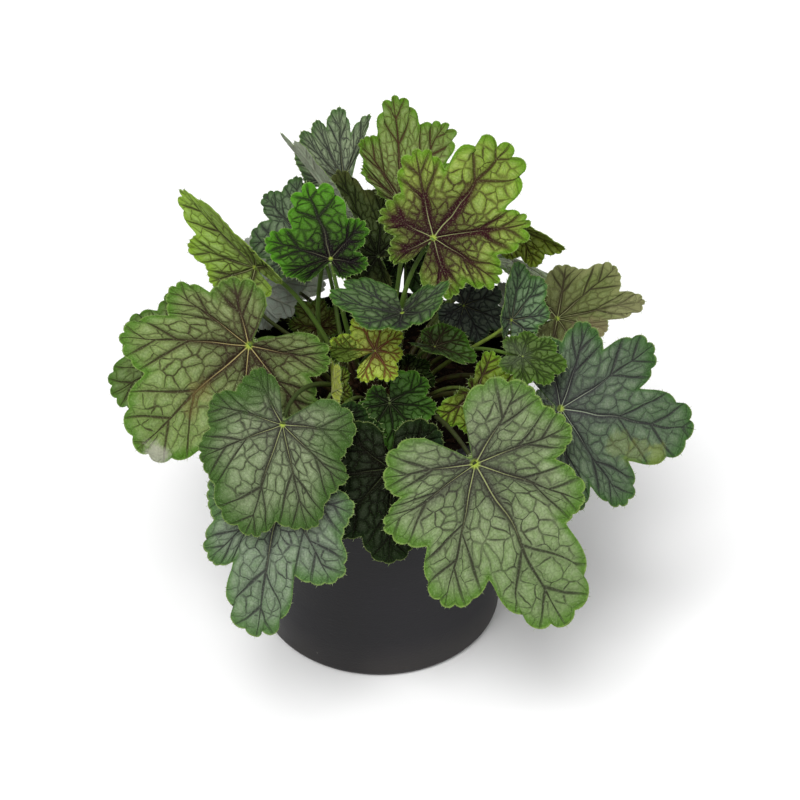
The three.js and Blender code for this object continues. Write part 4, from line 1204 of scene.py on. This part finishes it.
def lump(centre, size, turn, seed):
    """Vertices and faces of one irregular chip: four crumpled hexagons, one above the other."""
    vertices = []
    for level, (share, height) in enumerate(CHIP_LEVELS):
        for i in range(6):
            angle = 2 * math.pi * (i + 0.3 * chance(seed + level * 7 + i)) / 6
            far = share * (0.75 + 0.5 * chance(seed * 3 + level * 11 + i))
            x, y, z = far * math.cos(angle) * size[0], far * math.sin(angle) * size[1], height * size[2]
            tilt = z + x * 0.35 * (chance(seed + 2) - 0.5)
            vertices.append((
                centre[0] + x * math.cos(turn) - y * math.sin(turn),
                centre[1] + x * math.sin(turn) + y * math.cos(turn), centre[2] + tilt))
    return vertices, sleeve(len(CHIP_LEVELS), 6)


def joined(parts):
    """One mesh's vertices and faces from several, each counted from 0."""
    vertices, faces = [], []
    for points, sides in parts:
        start = len(vertices)
        vertices += [tuple(p) for p in points]
        faces += [[start + i for i in side] for side in sides]
    return vertices, faces


def add_soil():
    rings = [circle(radius, SOIL_SIDES, height) for radius, height in SOIL_WALL]
    for k in range(1, SOIL_RINGS):
        rings.append(circle(SOIL_EDGE * (1 - k / SOIL_RINGS) ** 0.9, SOIL_SIDES, soil_height))
    vertices, faces = lofted((0, 0, SOIL_WALL[0][1]), rings, (0, 0, soil_height(0, 0)))
    add_piece("potting_soil", vertices, faces, [soil_material()], "soil")

    chips = []
    for i in range(CHIPS):
        distance = 26 + 43 * math.sqrt(chance(i * 2.3))
        x, y, _ = distance * outward(CIRCLE * chance(i * 3.1 + 7))
        long = 0.8 + 3.2 * chance(i + 0.7) ** 2
        size = (long, long * (0.35 + 0.4 * chance(i * 1.9)), 0.35 + 0.35 * long * chance(i * 1.3))
        centre = (x, y, soil_height(x, y) + 0.3 * size[2])
        chips.append(lump(centre, size, CIRCLE * chance(i * 5.7), i + 0.5))
    vertices, faces = joined(chips)
    bark = bark_material("bark_chip", 0x1A110B, 0x3E2C1E)
    piece = add_piece("bark_chips", vertices, faces, [bark], None)
    piece.data.set_sharp_from_angle(angle=math.radians(35))


def crown_height(x, y):
    """The bark's height, knobbly inside and even at the edge."""
    distance = math.hypot(x, y)
    rough = 0.9 * lumps(x + 40, y, 6.0) + 0.5 * lumps(x, y + 40, 2.2, 3)
    rings_inside = CROWN_RINGS * (1 - distance / CROWN_EDGE)
    return crown_top(distance) - 0.6 + rough * min(1, rings_inside / 4)


def add_crown():
    """A knobbly crown with the stubs of old petioles."""
    base = SOIL_TOP - 9
    rings = [circle(CROWN_EDGE, CROWN_SIDES, base)]
    for k in range(CROWN_RINGS, 0, -1):
        rings.append(circle(CROWN_EDGE * k / CROWN_RINGS, CROWN_SIDES, crown_height))
    parts = [lofted((0, 0, base), rings, (0, 0, crown_top(0)))]
    for i in range(STUBS):
        distance = 5 + 20 * chance(i * 1.3)
        out = outward(2.4 * i)
        foot = out * distance + np.array([0, 0, crown_top(distance) - 2])
        lean = unit(out * (0.3 + 0.7 * chance(i + 9)) + (0, 0, 1))
        long = 4 + 7 * chance(i * 2.9)
        curl = out * 2.0 * (chance(i + 3) - 0.3)
        path = [foot + lean * long * t + curl * t * t for t in np.linspace(0, 1, 6)]
        radii = [(1.7 - 0.9 * t) * (0.8 + 0.5 * chance(i * 7 + 3 * t)) for t in np.linspace(0, 1, 6)]
        parts.append(tube(path, radii, 8, 0))
    vertices, faces = joined(parts)
    bark = bark_material("crown_bark", 0x1C120C, 0x42301F)
    add_piece("woody_crown", vertices, faces, [bark], "crown")


add_pot()
add_soil()
add_crown()

# ---- camera, light and floor
TARGET = Vector((11, 0, 133)) * MM
ELEVATION = math.radians(37)
DISTANCE = 0.96
FLOOR_HALF = 60000


def add_camera():
    data = bpy.data.cameras.new("camera")
    data.lens = 85
    data.sensor_width = 36
    camera = add_object("camera", data)
    camera.location = TARGET + DISTANCE * Vector((0, -math.cos(ELEVATION), math.sin(ELEVATION)))
    camera.rotation_euler = (math.pi / 2 - ELEVATION, 0, 0)
    bpy.context.scene.camera = camera


def add_sun(name, spot, strength, spread):
    data = bpy.data.lights.new(name, "SUN")
    data.energy = strength
    data.angle = math.radians(spread)
    lamp = add_object(name, data)
    lamp.location = spot
    lamp.rotation_euler = (-Vector(spot)).to_track_quat("-Z", "Y").to_euler()


def add_floor():
    corners = [(x * FLOOR_HALF, y * FLOOR_HALF, 0) for x, y in ((-1, -1), (1, -1), (1, 1), (-1, 1))]
    mesh = new_mesh("floor", corners, [(0, 1, 2, 3)])
    n = Material("floor", 0.9, 0.1)
    tint = n.mix(n.noise(n.position(), 3.0), (0.92, 0.92, 0.92, 1), (0.94, 0.94, 0.94, 1))
    mesh.materials.append(n.finish(tint))
    add_object("floor", mesh)


def add_world():
    world = bpy.data.worlds.new("studio")
    world.use_nodes = True
    world.node_tree.nodes["Background"].inputs["Color"].default_value = (1, 1, 1, 1)
    world.node_tree.nodes["Background"].inputs["Strength"].default_value = 0.2
    bpy.context.scene.world = world


add_camera()
# each light's name, place, strength and spread in degrees
add_sun("key", (-0.35, -0.75, 1.35), 3.2, 40)
add_sun("fill", (1.0, -0.6, 0.8), 0.5, 60)
add_sun("back", (0.3, 1.2, 1.0), 0.5, 60)
add_floor()
add_world()
bpy.context.scene.view_settings.view_transform = "Standard"
